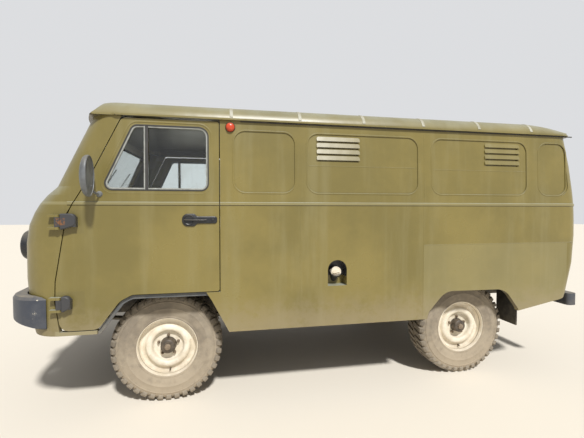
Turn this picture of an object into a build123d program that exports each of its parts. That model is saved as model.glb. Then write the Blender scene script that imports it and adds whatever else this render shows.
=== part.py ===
from build123d import *
import os
from math import cos, pi, radians, sin, sqrt

# Cab-over four-wheel-drive military ambulance van, in millimetres.
# +X points to the rear, +Y to the vehicle's right, +Z up; the ground is Z 0.

# Overall and running gear
overall_length = 4365.0
wheelbase = 2300.0
front_overhang = 980.0
track = 1445.0
tyre_radius = 377.0
tyre_width = 212.0
rim_radius = 208.0
rim_width = 186.0
rim_seat = 195.0
hub_radius = 50.0
hub_length = 52.0
hub_bearing_radius = 30.0
disc_y = 28.0
disc_bore = 56.0
stud_count = 5
stud_circle = 139.7
nut_radius = 11.0
drum_radius = 148.0
drum_depth = 62.0

front_end = -overall_length / 2
front_axle_x = front_end + front_overhang
rear_axle_x = front_axle_x + wheelbase
wheel_y = track / 2
axle_z = tyre_radius

# Body shell
half_width = 965.0
half_width_gutter = 945.0
wall = 40.0
glass_thickness = 5.0
sill_z = 508.0
belt_z = 1377.0
bead_height = 24.0
bead_proud = 5.0
shell_top_z = 1938.0
rear_face_x = 2112.0
rear_widest_z = 1126.0
rear_arc_above = 3104.0
rear_arc_below = 1534.0
rear_corner_radius = 110.0
front_bow = 60.0
rear_bow = 25.0
panel_gap = 6.0

# Roof
roof_top_z = 2090.0
roof_thickness = 30.0
roof_half_width = 956.0
gutter_half_width = 965.0
gutter_height = 12.0
visor_x = -1765.0
roof_rear_x = 2030.0
rib_pitch = 474.0
rib_first_x = -760.0
rib_count = 6
rib_width = 36.0
rib_proud = 6.0

# Doors, seen from the side
front_door_rear_x = -843.0
door_top_z = 1926.0
front_door_bottom_z = 577.0
door_arch_z = 790.0
side_door_front_x = -760.0
side_door_rear_x = -70.0
side_door_bottom_z = 560.0
rear_door_half_width = 690.0
rear_door_bottom_z = 646.0
rear_door_top_z = 1880.0
hinge_out = 25.0
front_hinge_x = -1815.0
hinge_barrel_radius = 15.0
pin_clearance = 0.4
seat_clearance = 0.3
door_clearance = 12.0

# Floor and inside
load_floor_z = 720.0
floor_thickness = 18.0
front_house_top_z = 848.0
front_house_front_x = -1630.0
front_house_rear_x = -790.0
front_house_inner_y = 425.0
rear_house_top_z = 850.0
rear_house_inner_y = 560.0
rear_house_half_length = 440.0
partition_x = -778.0
partition_thickness = 22.0

# Chassis
rail_y = 390.0
rail_width = 50.0
rail_height = 108.0
rail_bottom_z = 532.0
rail_top_z = rail_bottom_z + rail_height
rail_front_x = -2100.0
rail_rear_x = 1972.0
bearer_width = 60.0
footwell_z = rail_top_z
rail_slot = 4.0
engine_hole_x = -1742.0
engine_hole_y = 322.0
rail_end_plate = 8.0
rail_flange = 6.0
crossmember_z = rail_top_z - 40.0
gearbox_z = 515.0
mount_foot_y = rail_y + rail_width / 2 - rail_flange - 8.0
mount_foot_z = rail_bottom_z + rail_flange + seat_clearance
mount_foot_thickness = 20.0
axle_tube_radius = 40.0
diff_radius = 125.0
diff_offset_y = 60.0
spring_width = 60.0
spring_half_length = 580.0
leaf_thickness = 8.0
spring_seat_height = 12.0
eye_radius = 20.0
eye_rise = 40.0
leaf_count = 5

# Steering
kingpin_y = 598.0
ball_radius = 62.0
ball_clearance = 1.5
knuckle_wall = 12.0
kingpin_radius = 12.0
kingpin_reach = 84.0
steering_arm_length = 190.0
tie_rod_radius = 14.0
tie_rod_z = 330.0
steering_wheel_radius = 210.0
steering_grip_radius = 13.0
column_foot = (-1830.0, -400.0, 790.0)
column_head = (-1600.0, -430.0, 1270.0)

os.makedirs("parts", exist_ok=True)


def block(x, y, z):
    """Box between limits, each given as a pair."""
    size = [hi - lo for lo, hi in (x, y, z)]
    middle = [(lo + hi) / 2 for lo, hi in (x, y, z)]
    return Pos(*middle) * Box(*size)


def rounded_outline(points, radii):
    """Closed face with straight sides and a radius at each corner."""
    return make_face(FilletPolyline(*points, radius=radii, close=True))


def side_prism(points, radii, y_low, y_high):
    """Side-view outline (X, Z) extruded across the vehicle."""
    face = rounded_outline(points, radii)
    return extrude(Plane.XZ.offset(-y_high) * face, amount=y_high - y_low)


def end_prism(points, radii, x_low, x_high):
    """End-view outline (Y, Z) extruded along the vehicle."""
    face = rounded_outline(points, radii)
    return extrude(Plane.YZ.offset(x_low) * face, amount=x_high - x_low)


def rectangle_points(a_low, a_high, b_low, b_high):
    return [(a_low, b_low), (a_high, b_low), (a_high, b_high), (a_low, b_high)]


def rod(start, end, radius):
    """Round bar between two points."""
    axis = Vector(*end) - Vector(*start)
    return Plane(origin=start, z_dir=axis) * Cylinder(
        radius, axis.length, align=(Align.CENTER, Align.CENTER, Align.MIN))


def cross_cylinder(x, z, radius, y_low, y_high):
    """Cylinder whose axis lies across the vehicle."""
    return rod((x, y_low, z), (x, y_high, z), radius)


def turned(profile, count):
    """Turning about Y in flat facets, from a closed outline of (radius, y) points."""
    faces = []
    step = 2 * pi / count
    for i in range(count):
        for (r0, y0), (r1, y1) in zip(profile, profile[1:] + profile[:1]):
            corners = []
            for r, y, turn in ((r0, y0, i), (r1, y1, i), (r1, y1, i + 1), (r0, y0, i + 1)):
                corner = (r * cos(turn * step), y, r * sin(turn * step))
                if corner not in corners and (r > 0 or turn == i):
                    corners.append(corner)
            if len(corners) > 2:
                faces.append(flat_face(corners))
    return Solid(Shell(faces))


def flat_face(corners):
    return Face(Wire.make_polygon([Vector(*corner) for corner in corners], close=True))


def bar(start, end, width):
    """Square bar between two points."""
    axis = Vector(*end) - Vector(*start)
    return Plane(origin=start, z_dir=axis) * Box(
        width, width, axis.length, align=(Align.CENTER, Align.CENTER, Align.MIN))


def mirrored(shape):
    return mirror(shape, about=Plane.XZ)


def both_sides(shape):
    return [shape, mirrored(shape)]


def write(name, *shapes):
    """One file for each sub-part; its solids go in as they are."""
    solids = []
    for shape in shapes:
        if isinstance(shape, (list, tuple)):
            for one in shape:
                solids += one.solids()
        else:
            solids += shape.solids()
    body = solids[0] if len(solids) == 1 else Compound(solids)
    export_step(body, f"parts/{name}.step")


# Body shell: plan sections of arcs and lines, lofted from sill to gutter
# columns: height z, nose x on the centre line, front corner radius
nose_sections = [
    (sill_z, -2052.0, 205.0),
    (640.0, -2090.0, 215.0),
    (900.0, -2110.0, 220.0),
    (1126.0, -2110.0, 220.0),
    (1240.0, -2090.0, 210.0),
    (1320.0, -2055.0, 200.0),
    (1377.0, -2018.0, 185.0),
    (1430.0, -1972.0, 172.0),
    (1484.0, -1913.0, 165.0),
    (1700.0, -1812.0, 160.0),
    (shell_top_z, -1700.0, 155.0),
]


def rear_x(z):
    """Rear face on the centre line: one arc above the widest height, one below."""
    radius = rear_arc_above if z > rear_widest_z else rear_arc_below
    return rear_face_x - radius + sqrt(radius ** 2 - (z - rear_widest_z) ** 2)


def side_y(z):
    """Half width of the body at a height: upright to the belt, then leaning in."""
    lean = max(0.0, z - belt_z) / (shell_top_z - belt_z)
    return half_width - lean * (half_width - half_width_gutter)


def nose_x(y, z):
    """Front face at a height and a distance from the centre line."""
    for low, high in zip(nose_sections, nose_sections[1:]):
        if low[0] <= z <= high[0]:
            share = (z - low[0]) / (high[0] - low[0])
            return low[1] + share * (high[1] - low[1]) + front_bow * (y / half_width) ** 2
    return nose_sections[-1][1]


def plan_face(z, x_front, x_back, y, bows, radii):
    """Plan outline: bowed front and rear, straight sides, rounded corners."""
    bow_front, bow_back = bows
    radius_front, radius_back = radii
    edges = [
        ThreePointArc((x_front + bow_front, -y), (x_front, 0), (x_front + bow_front, y)),
        Line((x_front + bow_front, y), (x_back - bow_back, y)),
        ThreePointArc((x_back - bow_back, y), (x_back, 0), (x_back - bow_back, -y)),
        Line((x_back - bow_back, -y), (x_front + bow_front, -y)),
    ]
    face = make_face(edges)
    ends = face.vertices().sort_by(Axis.X)
    face = fillet(ends[:2], radius_front)
    ends = face.vertices().sort_by(Axis.X)
    face = fillet(ends[-2:], radius_back)
    return Pos(0, 0, z) * face


def shell_solid(inset, spare=0.0):
    """Solid inside the body skin, a distance in from it; spare lengthens both ends."""
    faces = []
    for index, (z, x_nose, radius) in enumerate(nose_sections):
        height = z
        if index == 0:
            height = z - spare
        if index == len(nose_sections) - 1:
            height = z + spare
        faces.append(plan_face(
            height, x_nose + inset, rear_x(z) - inset, side_y(z) - inset,
            (front_bow, rear_bow), (radius - inset, rear_corner_radius - inset)))
    return loft(faces, ruled=True)


outer_body = shell_solid(0.0)
inner_body = shell_solid(wall, 1.0)
shell = outer_body - inner_body


def skin_layer(near, far):
    """Layer of the skin between two depths."""
    return shell_solid(near) - shell_solid(far, 1.0)


emboss_depth = 5.0
emboss_layer = skin_layer(0.0, emboss_depth)
glass_depth = 16.0
glass_layer = skin_layer(glass_depth, glass_depth + glass_thickness)

# Front door seam, from the rear top corner round by the windscreen post to the arch
door_seam = [
    (front_door_rear_x, door_top_z),
    (-1449.0, door_top_z),
    (-1629.0, 1556.0),
    (-1768.0, 1313.0),
    (-1838.0, 890.0),
    (-1842.0, 760.0),
    (-1816.0, front_door_bottom_z),
    (-1600.0, front_door_bottom_z),
    (-1470.0, 752.0),
    (-1395.0, door_arch_z),
    (front_door_rear_x, door_arch_z),
]
door_seam_radii = [15, 40, 300, 300, 200, 150, 60, 60, 120, 60, 15]


def offset_outline(points, radii, distance, y_low, y_high):
    """Side prism of an outline moved out, or in, by a distance."""
    face = offset(rounded_outline(points, radii), amount=distance, kind=Kind.INTERSECTION)
    return extrude(Plane.XZ.offset(-y_high) * face, amount=y_high - y_low)


reach = 1100.0
middle_gap = 700.0
front_door_prism = side_prism(door_seam, door_seam_radii, -reach, -middle_gap)
front_door_hole = offset_outline(door_seam, door_seam_radii, panel_gap, -reach, -middle_gap)

# Side door on the right, hinged at its front edge
side_door_points = rectangle_points(
    side_door_front_x, side_door_rear_x, side_door_bottom_z, door_top_z - 10)
side_door_prism = side_prism(side_door_points, [40] * 4, middle_gap, reach)
side_door_hole = offset_outline(side_door_points, [40] * 4, panel_gap, middle_gap, reach)

# Rear doors: two leaves that meet on the centre line
rear_opening = rectangle_points(
    -rear_door_half_width, rear_door_half_width, rear_door_bottom_z, rear_door_top_z)
rear_door_start_x = 1900.0
rear_hole = end_prism(rear_opening, [70] * 4, rear_door_start_x, rear_face_x + 100)


def bead_prism():
    """Half-round moulding along the belt."""
    z_low, z_high = belt_z - bead_height / 2, belt_z + bead_height / 2
    radius = nose_sections[6][2]
    face = plan_face(0, nose_sections[6][1], rear_x(belt_z) + bead_proud, half_width + bead_proud,
                     (front_bow, rear_bow), (radius, rear_corner_radius + bead_proud))
    band = extrude(Pos(0, 0, z_low) * face, amount=bead_height)
    band = chamfer(band.edges().filter_by(lambda e: abs(e.center().Z - z_low) < 1
                                          or abs(e.center().Z - z_high) < 1), bead_proud * 0.8)
    return band - inner_body


bead = bead_prism() & block((-1765, 2200), (-reach, reach), (belt_z - 30, belt_z + 30))
skin = shell + bead

# Blank window panels pressed into the side
# columns: name, front x, rear x at the top, rear x at the bottom
blank_z_low, blank_z_high = 1450.0, 1875.0
blank_radius = 85.0
blanks = [
    ("p1", -750.0, -320.0, -320.0),
    ("p2", -239.0, 620.0, 620.0),
    ("p3", 728.0, 1570.0, 1570.0),
    ("p4", 1675.0, 1930.0, 1968.0),
]
side_door_blank = (side_door_front_x + 75, side_door_rear_x - 75)


def blank_cut(x_low, x_top, x_bottom, y_low, y_high):
    points = [(x_low, blank_z_low), (x_bottom, blank_z_low), (x_top, blank_z_high), (x_low, blank_z_high)]
    return emboss_layer & side_prism(points, [blank_radius] * 4, y_low, y_high)


# Side walls behind the front doors
arch_rear = [(rear_axle_x - 400, sill_z - 5), (rear_axle_x - 385, 560), (rear_axle_x - 245, 714),
             (rear_axle_x + 280, 708), (rear_axle_x + 410, 540), (rear_axle_x + 405, sill_z - 5)]
rear_split_x = 1960.0
rear_skirt_z = 614.0
corner_split_y = 840.0
side_region = [
    (front_door_rear_x + panel_gap, shell_top_z),
    (front_door_rear_x + panel_gap, door_arch_z - panel_gap),
    (-930.0, door_arch_z - panel_gap),
    (-893.0, 725.0),
    (-780.0, sill_z),
    (rear_axle_x + 402, sill_z),
    (rear_axle_x + 404, 528.0),
    (rear_split_x, rear_skirt_z),
    (rear_split_x, shell_top_z),
]


# Louvres: rows of pressed hoods, each over a slot
# columns: name of the blank, front x, rear x
louvre_sets = [("p2", -166.0, 155.0), ("p3", 1187.0, 1500.0)]
louvre_heights = [1690.0, 1735.0, 1780.0, 1824.0]
louvre_height = 31.0
louvre_proud = 10.0
louvre_slot = 10.0
louvre_slot_depth = 12.0


def louvre_hood(x_low, x_high, z):
    """Hood of the left wall: proud at its lower edge, fading into the blank above."""
    top = z + louvre_height
    floor_low, floor_high = side_y(z) - emboss_depth, side_y(top) - emboss_depth
    wedge = end_prism([(-(floor_low - 6), z), (-(floor_low + louvre_proud), z), (-(floor_high + 1), top),
                       (-(floor_high - 6), top)], [0] * 4, x_low, x_high)
    round_end = louvre_height / 2 - 0.5
    return wedge & side_prism(rectangle_points(x_low, x_high, z, top), [2, 2, round_end, round_end], -reach, -middle_gap)


def louvre_slot_cut(x_low, x_high, z):
    depth = side_y(z) - emboss_depth - louvre_slot_depth
    return block((x_low + 12, x_high - 12), (-reach, -depth), (z - louvre_slot, z))


# Filler pocket: an arched recess with its own box behind the wall
filler_left_x = -14.0
filler_right_x = 130.0
filler_half_width = 71.0
filler_z = (793.0, 977.0)
filler_depth = 90.0
filler_box_wall = 6.0
filler_cap_radius = 42.0
filler_cap_z = 878.0


def filler_prism(x, grow, y_low, y_high):
    half = filler_half_width + grow
    points = rectangle_points(x - half, x + half, filler_z[0] - grow, filler_z[1] + grow)
    return side_prism(points, [4, 4, half - 1, half - 1], y_low, y_high)


def filler_box(x):
    back = -(half_width - filler_depth)
    return filler_prism(x, filler_box_wall, -(half_width - wall + 2), back + filler_box_wall) - filler_prism(
        x, 0, -reach, back)


def filler_neck(x):
    """Short neck out of the pocket's back, with a cap and a bar to turn it."""
    back = -(half_width - filler_depth)
    foot = (x, back + 30, filler_cap_z - 65)
    pointing = Plane(origin=foot, z_dir=(0, -1, 1))
    neck = pointing * Cylinder(26, 94, align=(Align.CENTER, Align.CENTER, Align.MIN))
    neck &= filler_prism(x, -seat_clearance, -half_width, back - seat_clearance)
    cap = pointing * Pos(0, 0, 92) * Cylinder(filler_cap_radius, 16, align=(Align.CENTER, Align.CENTER, Align.MIN))
    grip = pointing * Pos(0, 0, 107) * Box(14, 62, 14, align=(Align.CENTER, Align.CENTER, Align.MIN))
    return neck + cap + grip


def side_wall(right):
    region = side_prism(side_region, [0] * 9, -reach, -corner_split_y)
    arch = side_prism(arch_rear, [0, 60, 150, 150, 60, 0], -reach, -middle_gap)
    if right:
        region = mirrored(region)
        arch = mirrored(arch)
    wall_part = (skin & region) - arch
    y_low, y_high = (middle_gap, reach) if right else (-reach, -middle_gap)
    for name, x_low, x_top, x_bottom in blanks:
        if right and name == "p1":
            continue
        if right and name == "p2":
            x_low = side_door_rear_x + 75
        wall_part -= blank_cut(x_low, x_top, x_bottom, y_low, y_high)
    if right:
        wall_part -= side_door_hole
    for name, x_low, x_high in louvre_sets:
        if right and name == "p2":
            continue
        for z in louvre_heights:
            hood, slot = louvre_hood(x_low, x_high, z), louvre_slot_cut(x_low, x_high, z)
            wall_part += mirrored(hood) if right else hood
            wall_part -= mirrored(slot) if right else slot
    x = filler_right_x if right else filler_left_x
    pocket, box = filler_prism(x, 0, -reach, -middle_gap), filler_box(x)
    wall_part -= mirrored(pocket) if right else pocket
    return wall_part + (mirrored(box) if right else box)


def rear_frame_part():
    region = block((rear_split_x, rear_face_x + 60), (-reach, reach), (rear_skirt_z, shell_top_z))
    region += block((rear_door_start_x, rear_split_x), (-corner_split_y, corner_split_y),
                    (rear_skirt_z, shell_top_z))
    return (skin & region) - rear_hole


# Nose with windscreen posts, header and the sill strip under each front door
front_sill_rear_x = -1606.0
nose_region = [
    (-2250.0, sill_z + 40),
    (-2250.0, shell_top_z),
    (-1449.0 - panel_gap, shell_top_z),
    (-1449.0 - panel_gap, door_top_z),
    (-1629.0 - panel_gap, 1556.0),
    (-1768.0 - panel_gap, 1313.0),
    (-1838.0 - panel_gap, 890.0),
    (-1842.0 - panel_gap, 760.0),
    (-1816.0 - panel_gap, front_door_bottom_z - panel_gap),
    (front_sill_rear_x, front_door_bottom_z - panel_gap),
    (front_sill_rear_x, sill_z + 40),
]
windscreen_pane = [(38.0, 1505.0), (785.0, 1505.0), (752.0, 1890.0), (38.0, 1890.0)]
windscreen_radii = [45, 95, 80, 45]


def windscreen_hole(shrink=0.0):
    face = rounded_outline(windscreen_pane, windscreen_radii)
    if shrink:
        face = offset(face, amount=-shrink)
    prism = extrude(Plane.YZ.offset(-2000) * face, amount=700)
    return prism + mirrored(prism)


headlamp_y, headlamp_z, headlamp_radius = 630.0, 1094.0, 88.0
headlamp_x = -2150.0
marker_y, marker_z, marker_radius = 655.0, 852.0, 30.0


def nose_part():
    region = side_prism(nose_region, [0] * 11, -reach, reach)
    region -= front_door_hole
    region -= mirrored(front_door_hole)
    shape = (skin & region) - windscreen_hole()
    for side in (-1, 1):
        shape -= rod((-2250, side * headlamp_y, headlamp_z), (-1900, side * headlamp_y, headlamp_z),
                     headlamp_radius + seat_clearance)
    return shape


def roof_solid(inset):
    """Crowned cross-section and curved ends cut from one block."""
    top = roof_top_z - inset
    y = roof_half_width - inset
    low = shell_top_z if inset == 0 else shell_top_z - 1
    crown = make_face([
        ThreePointArc((-(y - 126), top - 48), (0, top), (y - 126, top - 48)),
        ThreePointArc((y - 126, top - 48), (y - 28, top - 88), (y, low)),
        Line((y, low), (-y, low)),
        ThreePointArc((-y, low), (-(y - 28), top - 88), (-(y - 126), top - 48)),
    ])
    x_front, x_back = visor_x + inset, roof_rear_x - inset
    if inset:
        x_front = nose_sections[-1][1] + wall
    over = top + 25
    profile = make_face([
        Line((x_front, low), (x_back, low)),
        ThreePointArc((x_back, low), (x_back - 45, top - 35), (x_back - 260, over)),
        Line((x_back - 260, over), (x_front + 400, over)),
        ThreePointArc((x_front + 400, over), (x_front + 118, top - 45), (x_front, low)),
    ])
    length = x_back - x_front + 400
    body = extrude(Plane.YZ.offset(x_front - 200) * crown, amount=length)
    body &= extrude(Plane.XZ.offset(-reach) * profile, amount=2 * reach)
    plan = plan_face(low - 5, x_front, x_back, y, (front_bow + 15, rear_bow), (160 - inset, rear_corner_radius))
    return body & extrude(plan, amount=400)


def roof_part():
    shape = roof_solid(0) - roof_solid(roof_thickness)
    plan = plan_face(shell_top_z, visor_x - 6, roof_rear_x + 8, gutter_half_width,
                     (front_bow + 15, rear_bow), (165, rear_corner_radius + 8))
    gutter = extrude(plan, amount=gutter_height)
    hole = extrude(plan_face(shell_top_z - 1, visor_x + 40, roof_rear_x - 40, roof_half_width - 25,
                             (front_bow + 15, rear_bow), (130, rear_corner_radius - 25)), amount=gutter_height + 2)
    shape += gutter - hole
    raised = roof_solid(-rib_proud) - roof_solid(roof_thickness)
    for i in range(rib_count):
        x = rib_first_x + i * rib_pitch
        shape += raised & block((x - rib_width / 2, x + rib_width / 2), (-reach, reach),
                                (shell_top_z + gutter_height, roof_top_z + 20))
    return shape


# Doors
window_points = [(-916.0, 1466.0), (-1570.0, 1466.0), (-1382.0, 1880.0), (-916.0, 1880.0)]
window_radii = [45, 40, 45, 60]
divider_x = -1304.0
divider_width = 24.0


def window_prism(shrink=0.0):
    face = rounded_outline(window_points, window_radii)
    if shrink:
        face = offset(face, amount=-shrink)
    return extrude(Plane.XZ.offset(middle_gap) * face, amount=reach - middle_gap)


divider = block((divider_x - divider_width / 2, divider_x + divider_width / 2),
                (-reach, -middle_gap), (1440, 1900))


def front_door_left():
    shape = (skin & front_door_prism) - window_prism()
    shape += skin_layer(10, 28) & divider & window_prism(-5)
    return shape


def front_glass_left():
    cut = glass_layer & window_prism(seat_clearance)
    gap = block((divider_x - divider_width / 2 - seat_clearance, divider_x + divider_width / 2 + seat_clearance),
                (-reach, -middle_gap), (1400, 1950))
    return cut - gap


def side_door():
    shape = skin & side_door_prism
    return shape - blank_cut(side_door_blank[0], side_door_blank[1], side_door_blank[1], middle_gap, reach)


leaf_gap = 5.0
leaf_rebate = 8.0
rebate_depth = 20.0
rear_window = rectangle_points(-600.0, -110.0, 1455.0, 1800.0)
rear_window_radius = 70.0


def rear_leaf_left():
    points = rectangle_points(-rear_door_half_width + panel_gap, -leaf_gap,
                              rear_door_bottom_z + panel_gap, rear_door_top_z - panel_gap)
    leaf = skin & end_prism(points, [64, 4, 4, 64], rear_door_start_x, rear_face_x + 100)
    leaf -= shell_solid(rebate_depth) & block((rear_door_start_x, rear_face_x), (-leaf_gap - leaf_rebate, 0),
                                              (rear_door_bottom_z, rear_door_top_z))
    return leaf - end_prism(rear_window, [rear_window_radius] * 4, rear_door_start_x, rear_face_x + 100)


def rear_glass_left():
    face = offset(rounded_outline(rear_window, [rear_window_radius] * 4), amount=-seat_clearance)
    return glass_layer & extrude(Plane.YZ.offset(rear_door_start_x) * face, amount=400)


# Hinges: a barrel on the leaf turns between two on the fixed side
# columns: height z of the middle, rear end of the leaf
front_hinge_rows = [(1262.0, -1707.0), (752.0, -1744.0)]
side_hinge_rows = [(1262.0, side_door_front_x + 95.0), (752.0, side_door_front_x + 95.0)]
rear_hinge_heights = [800.0, 1220.0, 1640.0]
hinge_half = 30.0
barrel_end = 46.0
leaf_over_skin = 6.0
leaf_plate = 30.0
hood_proud = 43.0
side_hinge_x = side_door_front_x - 18.0
side_hinge_y = half_width + hinge_out
rear_hinge_x = rear_face_x + 26.0
rear_hinge_y = rear_door_half_width + 20.0


def barrel(x, y, z_low, z_high):
    return rod((x, y, z_low), (x, y, z_high), hinge_barrel_radius)


def hinge_hood(x, z, leaf_end):
    """Cast hood over the leaf of a left side hinge, with a slanted underside and a round end."""
    skin_y = -side_y(z)
    points = [(x + hinge_barrel_radius + 3, z - 50), (leaf_end, z - 22), (leaf_end, z + 52),
              (x + hinge_barrel_radius + 3, z + 52)]
    shape = side_prism(points, [10, 26, 34, 10], skin_y - hood_proud, skin_y - leaf_over_skin)
    return chamfer(shape.faces().sort_by(Axis.Y)[0].edges(), 6)


def side_hinge_leaf(x, z, leaf_end):
    """Moving half of a left side hinge, fused to the door skin behind the seam."""
    low, high = z - hinge_half, z + hinge_half
    skin_y = -side_y(z) - leaf_over_skin
    plate = block((x, leaf_end), (skin_y - leaf_plate, skin_y), (low, high))
    seat = block((leaf_end - 34, leaf_end), (skin_y - leaf_plate, skin_y + 16), (low, high))
    return barrel(x, -side_hinge_y, low, high) + plate + seat + hinge_hood(x, z, leaf_end)


def side_hinge_post(x, z, front_end_x):
    """Fixed half: two barrels on arms that root in the skin ahead of the seam."""
    shape = None
    skin_y = -side_y(z) - leaf_over_skin
    for low, high in ((z - barrel_end, z - hinge_half - pin_clearance),
                      (z + hinge_half + pin_clearance, z + barrel_end)):
        ear = barrel(x, -side_hinge_y, low, high)
        ear += block((front_end_x, x), (skin_y - leaf_plate, skin_y), (low, high))
        ear += block((front_end_x, front_end_x + 14), (skin_y - leaf_plate, skin_y + 20), (low, high))
        shape = ear if shape is None else shape + ear
    return shape


def rear_hinge_leaf(z):
    low, high = z - hinge_half, z + hinge_half
    skin_x = rear_x(z)
    arm = block((skin_x - 30, rear_hinge_x + 6), (-rear_hinge_y + 34, -rear_hinge_y + 110), (low, high))
    bridge = block((rear_hinge_x - 8, rear_hinge_x + 8), (-rear_hinge_y, -rear_hinge_y + 40), (low, high))
    return barrel(rear_hinge_x, -rear_hinge_y, low, high) + arm + bridge


def rear_hinge_post(z):
    shape = None
    for low, high in ((z - barrel_end, z - hinge_half - pin_clearance),
                      (z + hinge_half + pin_clearance, z + barrel_end)):
        ear = barrel(rear_hinge_x, -rear_hinge_y, low, high)
        ear += block((rear_x(z) - 36, rear_hinge_x), (-rear_hinge_y - 12, -rear_hinge_y + 4), (low, high))
        shape = ear if shape is None else shape + ear
    return shape


# Front door fittings: handle plate and mirror
handle_x = (-1083.0, -856.0)
handle_z = (1228.0, 1312.0)
handle_proud = 10.0
mirror_centre = (-1612.0, -1098.0, 1538.0)
mirror_half = (78.0, 124.0)
mirror_depth = 46.0


def handle_plate(x_low, x_high, z_low, z_high, y_skin):
    """Recess plate, wide at the front, with a pull lever across it."""
    middle = (z_low + z_high) / 2
    narrow = (z_high - z_low) * 0.3
    outline = [(x_low, z_low), (x_low + 95, z_low), (x_high - 40, middle - narrow), (x_high, middle - narrow),
               (x_high, middle + narrow), (x_high - 40, middle + narrow), (x_low + 95, z_high), (x_low, z_high)]
    plate = side_prism(outline, [32, 60, 40, 18, 18, 40, 60, 32], y_skin - handle_proud, y_skin)
    lever = side_prism(rectangle_points(x_low + 26, x_high - 58, middle - 11, middle + 11), [10] * 4,
                       y_skin - handle_proud - 16, y_skin - handle_proud)
    return plate + lever


def door_mirror():
    x, y, z = mirror_centre
    half_y, half_z = mirror_half
    shell_face = Plane(origin=(x - mirror_depth / 2, y, z), x_dir=(0, 1, 0), z_dir=(1, 0, 0)) * Ellipse(half_y, half_z)
    housing = extrude(shell_face, amount=mirror_depth)
    housing = chamfer(housing.edges().group_by(Axis.X)[0], 14)
    stay_foot = (x + 34, -side_y(1455), 1455)
    arm = rod(stay_foot, (x + 6, y + 20, z - 70), 9)
    base = side_prism(rectangle_points(x + 12, x + 58, 1425, 1485), [10] * 4,
                      -side_y(1485) - 12, -side_y(1485))
    base = base - outer_body
    return housing + (arm - outer_body) + base


def front_fittings():
    plate = handle_plate(handle_x[0], handle_x[1], handle_z[0], handle_z[1], -half_width)
    return [plate, door_mirror()]


def side_door_handle():
    plate = handle_plate(side_door_rear_x - 237, side_door_rear_x - 20, handle_z[0], handle_z[1], -half_width)
    return mirrored(plate)


def rear_door_handle():
    """Lever handle on the right leaf, beside the meeting edge."""
    z = 1120.0
    x = rear_x(z)
    rose = rod((x - 3, 75, z), (x + 16, 75, z), 24) - outer_body
    lever = block((x + 16, x + 32), (62, 88), (z - 14, z + 110))
    return rose + lever


# Floor, wheel houses and bearers
inner_room = shell_solid(wall + seat_clearance, 1.0)
beside_doors = block((-1860, front_door_rear_x + panel_gap), (-reach, reach), (0, roof_top_z))
beside_doors += block((side_door_front_x - 2 * panel_gap, side_door_rear_x + panel_gap), (middle_gap, reach),
                      (0, roof_top_z))
beside_doors += block((rear_split_x, rear_face_x), (-reach, reach), (0, roof_top_z))
door_margin = beside_doors - shell_solid(wall + door_clearance, 1.0)
bearer_places = [-740.0, -240.0, 560.0, 1640.0, 1930.0]


def load_floor():
    """Plate behind the cab, open over the rear wheels."""
    t = floor_thickness
    plate = block((front_house_rear_x - t, rear_face_x), (-half_width, half_width), (load_floor_z - t, load_floor_z))
    x_low, x_high = rear_axle_x - rear_house_half_length, rear_axle_x + rear_house_half_length
    for side in (-1, 1):
        y = sorted((side * (rear_house_inner_y + t), side * (half_width + 10)))
        plate -= block((x_low + t, x_high - t), y, (load_floor_z - t - 1, load_floor_z + 1))
    return (plate & inner_room) - door_margin


def cab_floor():
    """Footwell plate with a strip along each side of the engine."""
    t = floor_thickness
    plate = block((-2080.0, front_house_front_x + t), (-half_width, half_width), (footwell_z, footwell_z + t))
    for side in (-1, 1):
        y = sorted((side * engine_hole_y, side * (front_house_inner_y + t)))
        plate += block((front_house_front_x, front_house_rear_x), y, (footwell_z, footwell_z + t))
    plate -= block((engine_hole_x, front_house_front_x + t + 1), (-engine_hole_y, engine_hole_y),
                   (footwell_z - 1, footwell_z + t + 1))
    return (plate & inner_room) - door_margin


def bearers():
    half = bearer_width / 2
    return [block((x - half, x + half), (-880, 880), (rail_top_z, load_floor_z - floor_thickness - seat_clearance))
            for x in bearer_places]


# Flange that hangs from the front wheel house and shows under the door's arch
arch_flange_below = 24.0
arch_flange_y = (895.0, 912.0)
arch_flange_low = [(-1612.0, 659.0), (-1560.0, 659.0), (-1466.0, 742.0), (-1392.0, door_arch_z - arch_flange_below),
                   (-880.0, door_arch_z - arch_flange_below), (-846.0, 721.0), (-808.0, 721.0)]


def arch_flange():
    outline = arch_flange_low + [(-808.0, front_house_top_z - 2), (-1612.0, front_house_top_z - 2)]
    return side_prism(outline, [0, 20, 60, 60, 20, 10, 0, 0, 0], *arch_flange_y)


def front_house():
    """Box over the right front wheel, which also carries a seat."""
    y_in, y_out = front_house_inner_y, half_width
    t = floor_thickness
    foot = footwell_z + t + seat_clearance
    shape = block((front_house_front_x, front_house_rear_x), (y_in, y_out),
                  (front_house_top_z - t, front_house_top_z))
    shape += block((front_house_front_x, front_house_front_x + t), (y_in, y_out), (foot, front_house_top_z))
    shape += block((front_house_rear_x - t, front_house_rear_x), (y_in, y_out),
                   (load_floor_z + seat_clearance, front_house_top_z))
    shape += block((front_house_front_x, front_house_rear_x - t - seat_clearance), (y_in, y_in + t),
                   (foot, front_house_top_z))
    shape += arch_flange()
    return (shape & inner_room) - door_margin


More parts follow.
